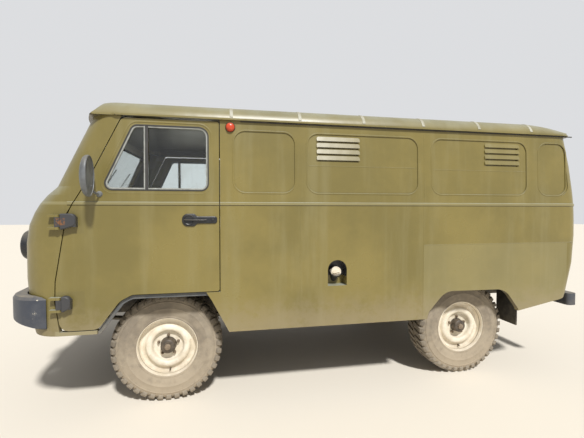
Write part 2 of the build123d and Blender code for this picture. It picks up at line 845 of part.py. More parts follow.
def rear_house():
    """Rounded box over the right rear wheel, on the load floor."""
    t = floor_thickness
    foot = load_floor_z + seat_clearance
    x_low, x_high = rear_axle_x - rear_house_half_length, rear_axle_x + rear_house_half_length
    outline = [(x_low, foot), (x_low + 130, rear_house_top_z), (x_high - 130, rear_house_top_z), (x_high, foot)]
    outside = side_prism(outline, [0, 90, 90, 0], rear_house_inner_y, half_width)
    inner_outline = [(x_low + t, foot - 1), (x_low + 130 + t * 0.7, rear_house_top_z - t),
                     (x_high - 130 - t * 0.7, rear_house_top_z - t), (x_high - t, foot - 1)]
    inside = side_prism(inner_outline, [0, 75, 75, 0], rear_house_inner_y + t, half_width + 10)
    return (outside - inside) & inner_room


def partition_part():
    outline = block((partition_x, partition_x + partition_thickness), (-half_width, half_width),
                    (load_floor_z + seat_clearance, shell_top_z - 8))
    window = end_prism(rectangle_points(-330, 330, 1420, 1720), [40] * 4, partition_x - 10, partition_x + 60)
    return (outline & inner_room) - window - door_margin


# Chassis frame
def chassis_part():
    rail = block((rail_front_x, rail_rear_x), (rail_y - rail_width / 2, rail_y + rail_width / 2),
                 (rail_bottom_z, rail_top_z))
    rail -= block((rail_front_x - 1, rail_rear_x + 1),
                  (rail_y - rail_width / 2 - 1, rail_y + rail_width / 2 - rail_flange),
                  (rail_bottom_z + rail_flange, rail_top_z - rail_flange))
    rail += block((rail_front_x, rail_front_x + rail_end_plate),
                  (rail_y - rail_width / 2, rail_y + rail_width / 2), (rail_bottom_z, rail_top_z))
    shape = rail + mirrored(rail)
    inner = rail_y - rail_width / 2 + 2
    for x, z_low in ((-1960.0, rail_bottom_z), (-150.0, crossmember_z), (500.0, crossmember_z),
                     (980.0, crossmember_z), (1500.0, crossmember_z), (rail_rear_x - 32, rail_bottom_z)):
        shape += block((x - 30, x + 30), (-inner - 40, inner + 40), (z_low, rail_top_z)) & block(
            (-3000, 3000), (-rail_y - rail_width / 2, rail_y + rail_width / 2), (0, rail_top_z))
    return shape


def spring_arc(half_length, drop, thickness, lift):
    """One curved leaf in side view, its middle at height 0 plus lift."""
    low = ThreePointArc((-half_length, drop + lift), (0, lift), (half_length, drop + lift))
    high = ThreePointArc((half_length, drop + lift + thickness), (0, lift + thickness),
                         (-half_length, drop + lift + thickness))
    return make_face([low, Line(low @ 1, high @ 0), high, Line(high @ 1, low @ 0)])


def spring_pack(x, side):
    """Leaf pack on top of the axle, longest leaf above, with rolled eyes."""
    y_low = side * rail_y - spring_width / 2
    seat_z = axle_z + axle_tube_radius + spring_seat_height
    shape = None
    for i in range(leaf_count):
        half = spring_half_length * (0.36 + 0.16 * i)
        drop = eye_rise * (half / spring_half_length) ** 2
        face = spring_arc(half, drop, leaf_thickness + 0.5, i * leaf_thickness)
        leaf = extrude(Plane.XZ.offset(-(y_low + spring_width)) * face, amount=spring_width)
        shape = leaf if shape is None else shape + leaf
    eye_z = eye_rise + (leaf_count - 1) * leaf_thickness + leaf_thickness
    for end in (-1, 1):
        shape += Pos(end * spring_half_length, y_low, eye_z) * Rot(-90, 0, 0) * Cylinder(
            eye_radius, spring_width, align=(Align.CENTER, Align.CENTER, Align.MIN))
    return Pos(x, 0, seat_z) * shape


def spring_hanger(x, side, end):
    """Bracket under the rail that holds a spring eye between its cheeks."""
    eye_z = axle_z + axle_tube_radius + spring_seat_height + eye_rise + leaf_count * leaf_thickness
    x_eye = x + end * spring_half_length
    y = side * rail_y
    top = rail_bottom_z - seat_clearance
    cheeks = None
    for edge in (-1, 1):
        y_in = y + edge * (spring_width / 2 + seat_clearance)
        y_pair = sorted((y_in, y_in + edge * 6))
        cheek = block((x_eye - 26, x_eye + 26), y_pair, (eye_z - 26, top))
        cheeks = cheek if cheeks is None else cheeks + cheek
    cap = block((x_eye - 26, x_eye + 26), (y - spring_width / 2 - 6, y + spring_width / 2 + 6), (top - 4, top))
    return cheeks + cap


axle_facets = 24


def axle_part(x, end_y):
    """Axle tube with a bowl for the final drive and pads for the springs."""
    shape = cross_cylinder(x, axle_z, axle_tube_radius, -end_y, end_y)
    bowl = turned([(0, -80), (72, -80), (diff_radius, -34), (diff_radius, 34), (72, 80), (0, 80)], axle_facets)
    shape += Pos(x, diff_offset_y, axle_z) * bowl
    for side in (-1, 1):
        y = side * rail_y
        shape += block((x - 50, x + 50), (y - spring_width / 2, y + spring_width / 2),
                       (axle_z, axle_z + axle_tube_radius + spring_seat_height))
    return shape


def kingpin(side, radius, reach_z):
    """Pin through the ball, upright, that the knuckle turns on."""
    y = side * kingpin_y
    return rod((front_axle_x, y, axle_z - reach_z), (front_axle_x, y, axle_z + reach_z), radius)


def meridian(radius, low, high):
    """Points of a ball's outline at steps of 30 degrees, as (radius, y)."""
    return [(round(radius * cos(radians(a)), 6), radius * sin(radians(a))) for a in range(low, high + 1, 30)]


def front_axle():
    shape = axle_part(front_axle_x, kingpin_y)
    for side in (-1, 1):
        shape += Pos(front_axle_x, side * kingpin_y, axle_z) * turned(meridian(ball_radius, -90, 90), axle_facets)
        shape += kingpin(side, kingpin_radius, kingpin_reach)
    return shape


drum_inner_y = wheel_y + disc_y - 7 - drum_depth
backing_gap = 3.0
spindle_clearance = 0.3


def spindle_right():
    """Backing plate and spindle end, the same on both axles."""
    near, far = drum_inner_y - backing_gap - 8, drum_inner_y - backing_gap
    plate = turned([(0, near), (drum_radius + 4, near), (drum_radius + 4, far), (0, far)], axle_facets)
    stub = cross_cylinder(0, 0, hub_bearing_radius - spindle_clearance, drum_inner_y - backing_gap,
                          drum_inner_y + 28)
    return plate + stub


def rear_axle():
    shape = axle_part(rear_axle_x, drum_inner_y - backing_gap - 4)
    ends = Pos(rear_axle_x, 0, axle_z) * spindle_right()
    return shape + ends + mirrored(ends)


def knuckle_right():
    """Open ball housing, kingpin ears, backing plate, spindle and forward steering arm."""
    near = (ball_radius + ball_clearance) / cos(radians(15)) / cos(pi / axle_facets)
    far = near + knuckle_wall
    outside, inside = meridian(far, 0, 90), meridian(near, 0, 90)
    housing = Pos(0, kingpin_y, 0) * turned(outside + inside[::-1], axle_facets)
    for low, high in ((near + 1, far + 16), (-far - 16, -near - 1)):
        housing += block((-22, 22), (kingpin_y - 22, kingpin_y + 12), (low, high))
    arm_z = (tie_rod_z - axle_z - 22, tie_rod_z - axle_z - 6)
    arm = block((-steering_arm_length, -ball_radius + 16), (kingpin_y - 9, kingpin_y + 9), arm_z)
    pad = rod((-steering_arm_length, kingpin_y, arm_z[0]), (-steering_arm_length, kingpin_y, arm_z[1]), 13)
    knuckle = Pos(front_axle_x, 0, axle_z) * (housing + spindle_right() + arm + pad)
    return knuckle - kingpin(1, kingpin_radius + seat_clearance, kingpin_reach + seat_clearance)


def tie_rod():
    """Rod with a ball end over each steering arm."""
    x = front_axle_x - steering_arm_length
    z = tie_rod_z + 16
    shape = cross_cylinder(x, z, tie_rod_radius, -kingpin_y, kingpin_y)
    for side in (-1, 1):
        shape += rod((x, side * kingpin_y, tie_rod_z - 6 + pin_clearance), (x, side * kingpin_y, z + 16), 13)
    return shape


# Engine, driveline, tanks and exhaust
engine_x = (-1640.0, -1030.0)
engine_half_width = 225.0
engine_z = (575.0, 1080.0)


def engine():
    """One plain mass on two feet that stand on the rails' lower flanges."""
    mass = block(engine_x, (-engine_half_width, engine_half_width), engine_z)
    foot_x = (engine_x[0] + 120, engine_x[0] + 180)
    for side in (-1, 1):
        y = sorted((side * (engine_half_width - 5), side * mount_foot_y))
        mass += block(foot_x, y, (mount_foot_z, mount_foot_z + mount_foot_thickness))
        y = sorted((side * (engine_half_width - 5), side * (engine_half_width + 30)))
        mass += block(foot_x, y, (mount_foot_z, engine_z[0] + 60))
    return mass


def driveline():
    """Gearbox and transfer case as plain masses, with a shaft towards each axle."""
    top = rail_top_z - 3
    shape = block((engine_x[1], transfer_x[0]), (-120, 120), (gearbox_z, top))
    shape += block(transfer_x, transfer_y, (transfer_bottom_z, top))
    shape += block((transfer_x[0] + 120, transfer_x[0] + 180), (-mount_foot_y, mount_foot_y),
                   (mount_foot_z, mount_foot_z + mount_foot_thickness))
    rear_start = (transfer_x[1] - 2, 0, 545)
    rear_stop = (rear_axle_x - diff_radius + 4, diff_offset_y, axle_z + 20)
    front_start = (transfer_x[0] + 2, 150, 520)
    front_stop = (front_axle_x + diff_radius - 4, diff_offset_y, axle_z + 15)
    for start, stop in ((rear_start, rear_stop), (front_start, front_stop)):
        shape += rod(start, stop, shaft_radius)
    for x in (front_axle_x, rear_axle_x):
        shape -= cross_cylinder(x, axle_z, diff_radius + seat_clearance, -rail_y, rail_y)
    return shape


transfer_x = (-640.0, -330.0)
transfer_y = (-150.0, 190.0)
transfer_bottom_z = 475.0
shaft_radius = 30.0
tank_x = (-430.0, 420.0)
tank_bottom_z = 495.0
tank_y = (450.0, 880.0)


def tanks():
    tank = block(tank_x, tank_y, (tank_bottom_z, load_floor_z - floor_thickness - seat_clearance))
    tank = fillet(tank.edges().filter_by(Axis.X), 35)
    tank -= block((bearer_places[1] - bearer_width, bearer_places[1] + bearer_width), (0, 900),
                  (rail_top_z - 1, load_floor_z))
    return both_sides(tank) + [filler_neck(filler_left_x), mirrored(filler_neck(filler_right_x))]


exhaust_y = 290.0
exhaust_radius = 24.0
exhaust_sides = 12
muffler_x = (-60.0, 480.0)
muffler_z = 476.0
muffler_radius = 70.0
# columns: x of a hanger under a crossmember, height where it joins the pipe
exhaust_hangers = [(-150.0, 480.0), (482.0, 500.0), (1500.0, 480.0)]


def exhaust():
    """Pipe from the engine's side to the rear, over the rear axle, with a muffler and hangers."""
    port_x = engine_x[1] - 170
    points = [(port_x, 670.0), (port_x + 140, 560.0), (-800.0, 490.0), (-250.0, 480.0), (900.0, 470.0),
              (1040.0, 560.0), (1260.0, 560.0), (1420.0, 480.0), (1900.0, 480.0)]
    rings = []
    for index, (x, z) in enumerate(points):
        before, after = points[max(index - 1, 0)], points[min(index + 1, len(points) - 1)]
        rings.append(Plane(origin=(x, exhaust_y, z), x_dir=(0, 1, 0), z_dir=(after[0] - before[0], 0, after[1] - before[1]))
                     * RegularPolygon(exhaust_radius, exhaust_sides))
    pipe = loft(rings, ruled=True)
    pipe += rod((port_x + 10, engine_half_width + seat_clearance, 665), (port_x + 10, exhaust_y, 665), exhaust_radius - 2)
    shape = pipe + rod((muffler_x[0], exhaust_y, muffler_z), (muffler_x[1], exhaust_y, muffler_z), muffler_radius)
    for x, z in exhaust_hangers:
        shape += block((x - 6, x + 6), (exhaust_y - 10, exhaust_y + 10), (z, crossmember_z - seat_clearance))
    return shape


# Inside the cab
def dashboard():
    profile = [(-2100.0, 1120.0), (-1880.0, 1120.0), (-1835.0, 1180.0), (-1850.0, 1330.0), (-1900.0, 1420.0),
               (-2100.0, 1420.0)]
    return side_prism(profile, [0, 20, 40, 50, 20, 0], -half_width, half_width) & inner_room & block(
        (-2100, -1700), (-920, 920), (1100, 1460))


def engine_cover():
    shape = block((-1760, -818), (-340, 340), (footwell_z + floor_thickness + seat_clearance, 1150))
    shape = fillet(shape.edges().group_by(Axis.Z)[-1], 60)
    inside = block((-1742, -836), (-322, 322), (500, 1120))
    return shape - inside


def seats():
    base_z = front_house_top_z + seat_clearance
    cushion = chamfer(block((-1430, -960), (445, 885), (base_z, base_z + 110)).edges(), 22)
    back = chamfer((Pos(-930, 665, base_z + 44) * Rot(0, 8, 0) * Box(
        90, 440, 516, align=(Align.CENTER, Align.CENTER, Align.MIN))).edges(), 22)
    right = [cushion - back, back]
    return right + [mirrored(one) for one in right]


def steering_gear():
    column = rod(column_foot, column_head, 22)
    floor_top = footwell_z + floor_thickness + seat_clearance
    housing = block((-1880, -1790), (-470, -330), (floor_top, 800))
    return column + housing


def steering_wheel():
    axis = Vector(*column_head) - Vector(*column_foot)
    plane = Plane(origin=column_head, z_dir=axis)
    radius = steering_grip_radius
    grip = [(radius * sin(radians(a)) + steering_wheel_radius, radius * cos(radians(a))) for a in range(0, 360, 60)]
    rim = Rot(90, 0, 0) * turned(grip, axle_facets)
    spokes = None
    for angle in (90, 210, 330):
        spoke = Rot(0, 0, angle) * block((20, steering_wheel_radius - 4), (-11, 11), (-6, 4))
        spokes = spoke if spokes is None else spokes + spoke
    hub_piece = Pos(0, 0, -20) * Cylinder(38, 40)
    return plane * Pos(0, 0, 41) * (rim + spokes + hub_piece)


# Bumpers, lamps, wipers, flaps and tow eyes
# columns: height z, how far in from the outermost outline
bumper_rows = [(592.0, 14.0), (606.0, 2.0), (680.0, 0.0), (780.0, 0.0), (798.0, 10.0), (805.0, 28.0)]
bumper_flange = 16.0
bumper_side_end = -1892.0
bumper_lip = [(-2300.0, 560.0), (-1880.0, 560.0), (-1880.0, 588.0), (-2130.0, 652.0), (-2300.0, 655.0)]
bumper_bracket_z = (594.0, 740.0)
rear_bumper_x = (2060.0, 2150.0)
rear_bumper_y = (560.0, 900.0)
rear_bumper_z = (525.0, 625.0)


def front_bumper():
    """Deep band round the front corners, open at the back, with a lip along each side."""
    band = loft([plan_face(z, front_end + step_in, 0, half_width + 6 - step_in, (46, 2), (215 - step_in, 1))
                 for z, step_in in bumper_rows], ruled=True)
    z_low, z_high = bumper_rows[0][0], bumper_rows[-1][0]
    inner = plan_face(z_low - 1, front_end + 46, 0, half_width - 34, (46, 2), (170, 1))
    band -= extrude(inner, amount=z_high - z_low + 1 - bumper_flange)
    band -= nose_clear
    band &= block((-2300, bumper_side_end), (-reach, reach), (500, 900))
    band -= side_prism(bumper_lip, [0] * 5, -reach, reach)
    for side in (-1, 1):
        band += block((-2150, rail_front_x - seat_clearance), (side * rail_y - 20, side * rail_y + 20),
                      bumper_bracket_z)
    return band


def rear_bumper_right():
    """Short bumper below the rear doors on an arm from the rail's end."""
    shape = block(rear_bumper_x, rear_bumper_y, rear_bumper_z)
    shape = fillet(shape.edges().filter_by(Axis.Z), 30)
    y_rail = rail_y + rail_width / 2 + seat_clearance
    z_arm = (rear_bumper_z[0] + 30, rear_bumper_z[1] - 25)
    shape += block((rail_rear_x - 90, rail_rear_x + 30), (y_rail, y_rail + 12), z_arm)
    shape += block((rail_rear_x + 14, rail_rear_x + 30), (y_rail, rear_bumper_y[0] + 90), z_arm)
    shape += block((rail_rear_x + 14, rear_bumper_x[0] + 20), (rear_bumper_y[0] + 40, rear_bumper_y[0] + 90), z_arm)
    return shape


def headlamps():
    lamp = rod((headlamp_x, headlamp_y, headlamp_z), (-2062, headlamp_y, headlamp_z), headlamp_radius)
    ring = rod((headlamp_x, headlamp_y, headlamp_z), (-2098, headlamp_y, headlamp_z), headlamp_radius + 14)
    return both_sides(lamp + ring)


skin_clear_solid = shell_solid(-seat_clearance)
nose_clear = shell_solid(-8.0)


repeater_left_x = -768.0
repeater_right_x = -804.0
repeater_z = 1892.0


def marker_lamps():
    front = rod((-2125, marker_y, marker_z), (-2040, marker_y, marker_z), marker_radius) - skin_clear_solid
    y = side_y(repeater_z)
    repeaters = [rod((x, side * (y - 10), repeater_z), (x, side * (y + 26), repeater_z), 26) - skin_clear_solid
                 for x, side in ((repeater_left_x, -1), (repeater_right_x, 1))]
    tail_z = 960.0
    tail = block((2080, rear_x(tail_z) + 30), (770, 850), (tail_z - 90, tail_z + 90)) - skin_clear_solid
    return both_sides(front) + repeaters + both_sides(tail)


wiper_pivots = (150.0, 560.0)
wiper_pivot_z = 1462.0
wiper_lean_y = 70.0
wiper_middle_z = 1590.0
wiper_half_blade = 130.0


def wiper(y, lean):
    """Pivot in the scuttle, arm up the glass and blade along it."""
    pivot_x = nose_x(y, wiper_pivot_z)
    pivot = rod((pivot_x - 16, y, wiper_pivot_z), (pivot_x + 20, y, wiper_pivot_z), 11) - skin_clear_solid
    middle = (nose_x(y + lean, wiper_middle_z) - 16, y + lean, wiper_middle_z)
    arm = bar((pivot_x - 12, y, wiper_pivot_z), middle, 9)
    run_y, run_z = wiper_half_blade * 0.35, wiper_half_blade * 0.94
    ends = []
    for sign in (-1, 1):
        y_end, z_end = middle[1] + sign * run_y, middle[2] + sign * run_z
        ends.append((nose_x(y_end, z_end) - 7, y_end, z_end))
    blade = bar(ends[0], ends[1], 10) + bar(middle, (middle[0] + 12, middle[1], middle[2]), 9)
    return pivot + (arm - skin_clear_solid) + blade


def wipers():
    right = [wiper(y, wiper_lean_y) for y in wiper_pivots]
    return right + [mirrored(one) for one in right]


def mud_flaps():
    flap = block((1600, 1612), (620, 840), (365, 640))
    return both_sides(flap)


tow_rear_x = overall_length / 2 - 34.5
tow_rear_z = 570.0
tow_rear_bore = 20.0
tow_rear_thickness = 22.0
tow_front_x = -2132.0
tow_front_z = 562.0
tow_front_bore = 15.0
tow_front_thickness = 16.0


def tow_eyes():
    """Rear eye on the last crossmember and one eye on each front rail end."""
    end_radius = overall_length / 2 - tow_rear_x
    z_low = tow_rear_z - tow_rear_thickness / 2
    z_high = tow_rear_z + tow_rear_thickness / 2
    rear = block((rail_rear_x - 2 + seat_clearance, tow_rear_x), (-24, 24), (z_low, z_high))
    rear += rod((tow_rear_x, 0, z_low), (tow_rear_x, 0, z_high), end_radius)
    rear -= rod((tow_rear_x, 0, z_low - 1), (tow_rear_x, 0, z_high + 1), tow_rear_bore)
    y_low, y_high = rail_y - tow_front_thickness / 2, rail_y + tow_front_thickness / 2
    front = block((tow_front_x, rail_front_x - seat_clearance), (y_low, y_high), (tow_front_z - 16, tow_front_z + 16))
    front += cross_cylinder(tow_front_x, tow_front_z, 28, y_low, y_high)
    front -= cross_cylinder(tow_front_x, tow_front_z, tow_front_bore, y_low - 1, y_high + 1)
    return [rear] + both_sides(front)


def windscreen_glass():
    return glass_layer & windscreen_hole(seat_clearance)


lug_count = 40
lug_share = 0.74
lug_height = 13.0
tread_half = 88.0


def tyre(x, side):
    """Tyre in flat facets, each with one lug bar across the tread."""
    bead_half = rim_width / 2 - rim_flange - seat_clearance
    step = 2 * pi / lug_count
    facet_middle = tyre_radius - lug_height
    groove = facet_middle / cos(step / 2)
    bead = (rim_seat + seat_clearance) / cos(step / 2)
    flank = [(groove, tread_half), (345.0, 102.0), (262.0, tyre_width / 2), (rim_radius + 3.0, bead_half),
             (bead, bead_half)]
    outline = flank + [(r, -y) for r, y in reversed(flank)]
    faces = []
    for i in range(lug_count):
        turns = [-pi / 2 + (i + end) * step for end in (-0.5, 0.5)]
        lines = [[Vector(r * cos(turn), y, r * sin(turn)) for r, y in outline] for turn in turns]
        near, far = lines
        up = Vector(cos(turns[0] + step / 2), 0, sin(turns[0] + step / 2)) * lug_height
        feet, tops = [], []
        for index, pull in ((0, -1), (len(outline) - 1, 1)):
            across = far[index] - near[index]
            for share in ((1 - lug_share) / 2, (1 + lug_share) / 2):
                foot = near[index] + across * share
                feet.append(foot)
                tops.append(foot + up + Vector(0, pull * 4.0, 0))
        last = len(outline) - 1
        rings = [[near[0], feet[0], feet[1], far[0], far[1], near[1]],
                 [near[last], near[last - 1], far[last - 1], far[last], feet[3], feet[2]],
                 [near[0], near[last], feet[2], feet[0]], [feet[1], feet[3], far[last], far[0]],
                 [feet[0], feet[2], tops[2], tops[0]], [feet[1], tops[1], tops[3], feet[3]],
                 [tops[0], tops[2], tops[3], tops[1]], [feet[0], tops[0], tops[1], feet[1]],
                 [feet[2], feet[3], tops[3], tops[2]]]
        rings += [[near[k], far[k], far[k + 1], near[k + 1]] for k in range(1, last - 1)]
        faces += [flat_face([(p.X, p.Y, p.Z) for p in ring]) for ring in rings]
    return Pos(x, side * wheel_y, axle_z) * Solid(Shell(faces))


rim_flange = 8.0
rim_well = 22.0
rim_sheet = 5.0
disc_ring_outer = 152.0
disc_recess = 102.0
wheel_facets = 30


def wheel(x, side):
    """Steel wheel: rim with flanges and well, and a disc with a raised ring."""
    half = rim_width / 2
    well = rim_seat - rim_well
    rim_outline = [
        (rim_radius, half), (rim_seat, half - rim_flange), (rim_seat, half - 34), (well, half - 60),
        (well, -half + 60), (rim_seat, -half + 34), (rim_seat, -half + rim_flange), (rim_radius, -half),
        (rim_seat - rim_sheet, -half), (rim_seat - rim_sheet, -half + 36), (well - rim_sheet, -half + 62),
        (well - rim_sheet, half - 62), (rim_seat - rim_sheet, half - 36), (rim_seat - rim_sheet, half)]
    disc_outline = [
        (disc_bore, disc_y), (disc_recess, disc_y), (disc_recess + 8, disc_y + 16), (disc_ring_outer, disc_y + 14),
        (well - 3, disc_y - 12), (well - 3, disc_y - 19), (disc_ring_outer, disc_y + 7),
        (disc_recess + 10, disc_y + 9), (disc_recess, disc_y - 7), (disc_bore, disc_y - 7)]
    shape = turned(rim_outline, wheel_facets) + turned(disc_outline, wheel_facets)
    if side < 0:
        shape = mirrored(shape)
    return Pos(x, side * wheel_y, axle_z) * shape


hub_facets = 20


def hub(x, side, locking):
    """Brake drum, hub and nuts; the front hub ends in a locking flange."""
    inner = disc_y - 7 - drum_depth
    face = disc_y - 7 - seat_clearance
    bore = disc_bore - 1
    parts = turned([
        (0, inner), (drum_radius, inner), (drum_radius, face), (bore, face), (bore, disc_y + 6),
        (hub_radius, disc_y + 12), (hub_radius, disc_y + hub_length), (hub_radius - 10, disc_y + hub_length + 4),
        (0, disc_y + hub_length + 4)], hub_facets)
    parts -= rod((0, inner - 1, 0), (0, inner + 30, 0), hub_bearing_radius)
    if locking:
        parts += rod((0, disc_y + hub_length, 0), (0, disc_y + hub_length + 22, 0), hub_radius - 16)
    for i in range(stud_count):
        angle = radians(360 / stud_count * i)
        x_nut, z_nut = stud_circle / 2 * sin(angle), stud_circle / 2 * cos(angle)
        nut = extrude(RegularPolygon(nut_radius, 6), amount=16 - seat_clearance)
        parts += Pos(x_nut, disc_y + seat_clearance, z_nut) * Rot(-90, 0, 0) * nut
    if side < 0:
        parts = mirrored(parts)
    return Pos(x, side * wheel_y, axle_z) * parts


def turned_sides(name, shape):
    """The same piece on both sides, as left and right nodes."""
    write(name.replace("SIDE", "right"), shape)
    write(name.replace("SIDE", "left"), mirrored(shape))


# Left front door carries its hinge leaves; the posts belong to the nose
front_door = front_door_left()
nose_shape = nose_part()
for side in (-1, 1):
    slot_y = (side * rail_y - rail_width / 2 - rail_slot, side * rail_y + rail_width / 2 + rail_slot)
    nose_shape -= block((-2250, -1900), slot_y, (0, rail_top_z + rail_slot))
for height, leaf_end in front_hinge_rows:
    front_door += side_hinge_leaf(front_hinge_x, height, leaf_end)
    post = side_hinge_post(front_hinge_x, height, front_hinge_x - 50)
    nose_shape += post + mirrored(post)
left_glass = front_glass_left()
left_fittings = front_fittings()

right_wall = side_wall(True)
side_leaf = side_door()
for height, leaf_end in side_hinge_rows:
    side_leaf += mirrored(side_hinge_leaf(side_hinge_x, height, leaf_end))
    right_wall += mirrored(side_hinge_post(side_hinge_x, height, side_hinge_x - 22))

rear_leaf = rear_leaf_left()
rear_frame = rear_frame_part()
for height in rear_hinge_heights:
    rear_leaf += rear_hinge_leaf(height)
    post = rear_hinge_post(height)
    rear_frame += post + mirrored(post)
rear_pane = rear_glass_left()

springs = []
for axle_x in (front_axle_x, rear_axle_x):
    for side in (-1, 1):
        springs.append(spring_pack(axle_x, side))
        springs += [spring_hanger(axle_x, side, end) for end in (-1, 1)]

write("chassis_frame", chassis_part())
write("floor_pan", load_floor(), cab_floor(), bearers())
write("wheel_houses", both_sides(front_house()), both_sides(rear_house()))
write("side_wall_left", side_wall(False))
write("side_wall_right", right_wall)
write("rear_frame", rear_frame)
write("roof", roof_part())
write("nose", nose_shape)
write("windscreen_glass", windscreen_glass())
write("partition", partition_part())
write("engine", engine())
write("driveline", driveline())
write("fuel_tanks", tanks())
write("exhaust", exhaust())
write("engine_cover", engine_cover())
write("dashboard", dashboard())
write("seats", seats())
write("steering_gear", steering_gear())
write("steering_wheel", steering_wheel())
write("front_axle", front_axle())
write("rear_axle", rear_axle())
write("leaf_springs", springs)
write("bumpers", front_bumper(), both_sides(rear_bumper_right()))
write("headlamps", headlamps())
write("marker_lamps", marker_lamps())
write("wipers", wipers())
write("mud_flaps", mud_flaps())
write("tow_eyes", tow_eyes())
write("door_front_left_panel", front_door)
write("door_front_right_panel", mirrored(front_door))
write("door_front_left_glass", left_glass)
write("door_front_right_glass", mirrored(left_glass))
write("door_front_left_fittings", left_fittings)
write("door_front_right_fittings", [mirrored(one) for one in left_fittings])
write("door_side_panel", side_leaf)
write("door_side_handle", side_door_handle())
write("door_rear_left_panel", rear_leaf)
write("door_rear_right_panel", mirrored(rear_leaf))
write("door_rear_left_glass", rear_pane)
write("door_rear_right_glass", mirrored(rear_pane))
write("door_rear_handle", rear_door_handle())
turned_sides("knuckle_SIDE", knuckle_right())
write("tie_rod", tie_rod())
for place, x, locking in (("front", front_axle_x, True), ("rear", rear_axle_x, False)):
    for name, side in (("left", -1), ("right", 1)):
        write(f"tyre_{place}_{name}", tyre(x, side))
        write(f"wheel_{place}_{name}", wheel(x, side), hub(x, side, locking))
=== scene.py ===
import math
import bmesh
import bpy
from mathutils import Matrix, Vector
from mathutils.bvhtree import BVHTree


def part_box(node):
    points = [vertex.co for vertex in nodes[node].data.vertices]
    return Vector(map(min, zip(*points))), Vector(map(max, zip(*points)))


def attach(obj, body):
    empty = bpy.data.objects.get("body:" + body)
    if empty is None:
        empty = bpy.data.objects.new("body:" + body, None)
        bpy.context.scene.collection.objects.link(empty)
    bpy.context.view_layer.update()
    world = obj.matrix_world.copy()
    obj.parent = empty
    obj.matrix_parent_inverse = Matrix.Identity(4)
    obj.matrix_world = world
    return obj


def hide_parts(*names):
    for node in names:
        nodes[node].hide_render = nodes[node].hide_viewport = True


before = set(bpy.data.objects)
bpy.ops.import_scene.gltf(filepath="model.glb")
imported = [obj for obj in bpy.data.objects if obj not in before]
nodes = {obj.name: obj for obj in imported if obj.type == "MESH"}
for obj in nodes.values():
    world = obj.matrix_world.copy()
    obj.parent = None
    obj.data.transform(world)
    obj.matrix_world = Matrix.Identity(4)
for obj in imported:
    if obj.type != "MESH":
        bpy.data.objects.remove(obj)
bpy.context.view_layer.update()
sides = ((-1, "left"), (1, "right"))
mergeReach = 0.00002

# view of the photograph, 584 by 438 pixels, in metres and degrees
view = {
    "place": (-0.830, -3.415, 1.345),
    "yaw": 11.16,
    "pitch": -1.649,
    "roll": -0.04,
    "focalPixels": 358.69,
    "picture": (584, 438),
    "sensor": 36.0,
    "clip": (0.05, 100),
}


def makeCamera():
    data = bpy.data.cameras.new("photoCamera")
    data.sensor_width = view["sensor"]
    data.lens = view["focalPixels"] / view["picture"][0] * view["sensor"]
    data.clip_start, data.clip_end = view["clip"]
    camera = bpy.data.objects.new("photoCamera", data)
    bpy.context.scene.collection.objects.link(camera)
    camera.location = view["place"]
    camera.rotation_mode = "XYZ"
    camera.rotation_euler = (math.radians(90 + view["pitch"]), math.radians(view["roll"]),
                             math.radians(-view["yaw"]))
    bpy.context.scene.camera = camera
    print("camera placed")


# shader helpers: place a node, feed its sockets with numbers, colours or other sockets
def place(tree, kind, feeds=None, **settings):
    node = tree.nodes.new(kind)
    for key, value in settings.items():
        setattr(node, key, value)
    for key, value in (feeds or {}).items():
        socket = node.inputs[key]
        if isinstance(value, bpy.types.NodeSocket):
            tree.links.new(value, socket)
        elif isinstance(value, tuple) and len(value) == 3 and socket.type == "RGBA":
            socket.default_value = (*value, 1)
        else:
            socket.default_value = value
    return node


# light and floor, kept at a plain level
studio = {
    "floor": (0.74, 0.68, 0.58),
    "wall": (0.80, 0.81, 0.83),
    "skyStrength": 0.46,
    "backStrength": 0.90,
    "key": 4.0,
    "keyAngle": 5,
    "keyTurn": (40, 0, 12),
    "floorHalf": 30.0,
    "floorRough": 0.9,
}


def makeStudio():
    scene = bpy.context.scene
    scene.view_settings.view_transform = "Standard"
    world = bpy.data.worlds.new("studioWorld")
    scene.world = world
    world.use_nodes = True
    tree = world.node_tree
    tree.nodes.clear()
    path = tree.nodes.new("ShaderNodeLightPath").outputs
    seen = calc(tree, "MAXIMUM", path["Is Camera Ray"], path["Is Glossy Ray"])
    seen = calc(tree, "MAXIMUM", seen, path["Is Transmission Ray"])
    strength = place(tree, "ShaderNodeMapRange", {"Value": seen, "To Min": studio["skyStrength"],
                                                  "To Max": studio["backStrength"]})
    back = place(tree, "ShaderNodeBackground", {"Color": studio["wall"], "Strength": strength.outputs[0]})
    tree.links.new(back.outputs[0], tree.nodes.new("ShaderNodeOutputWorld").inputs[0])
    sun = bpy.data.lights.new("softSun", "SUN")
    sun.energy = studio["key"]
    sun.angle = math.radians(studio["keyAngle"])
    sunObject = bpy.data.objects.new("softSun", sun)
    scene.collection.objects.link(sunObject)
    sunObject.rotation_euler = [math.radians(a) for a in studio["keyTurn"]]
    mesh = bpy.data.meshes.new("studioFloor")
    half = studio["floorHalf"]
    corners = [(-half, -half, 0), (half, -half, 0), (half, half, 0), (-half, half, 0)]
    mesh.from_pydata(corners, [], [(0, 1, 2, 3)])
    floor = bpy.data.objects.new("studioFloor", mesh)
    scene.collection.objects.link(floor)
    material, _, shader = newMaterial("studioFloor", Roughness=studio["floorRough"])
    shader.inputs["Base Color"].default_value = (*studio["floor"], 1)
    mesh.materials.append(material)
    print("studio made")


def mixColour(tree, mask, first, second):
    return place(tree, "ShaderNodeMix", {0: mask, 6: first, 7: second}, data_type="RGBA").outputs[2]


def calc(tree, operation, first, second, clamp=False):
    node = place(tree, "ShaderNodeMath", {0: first, 1: second}, operation=operation, use_clamp=clamp)
    return node.outputs[0]


def times(tree, first, second, clamp=False):
    return calc(tree, "MULTIPLY", first, second, clamp)


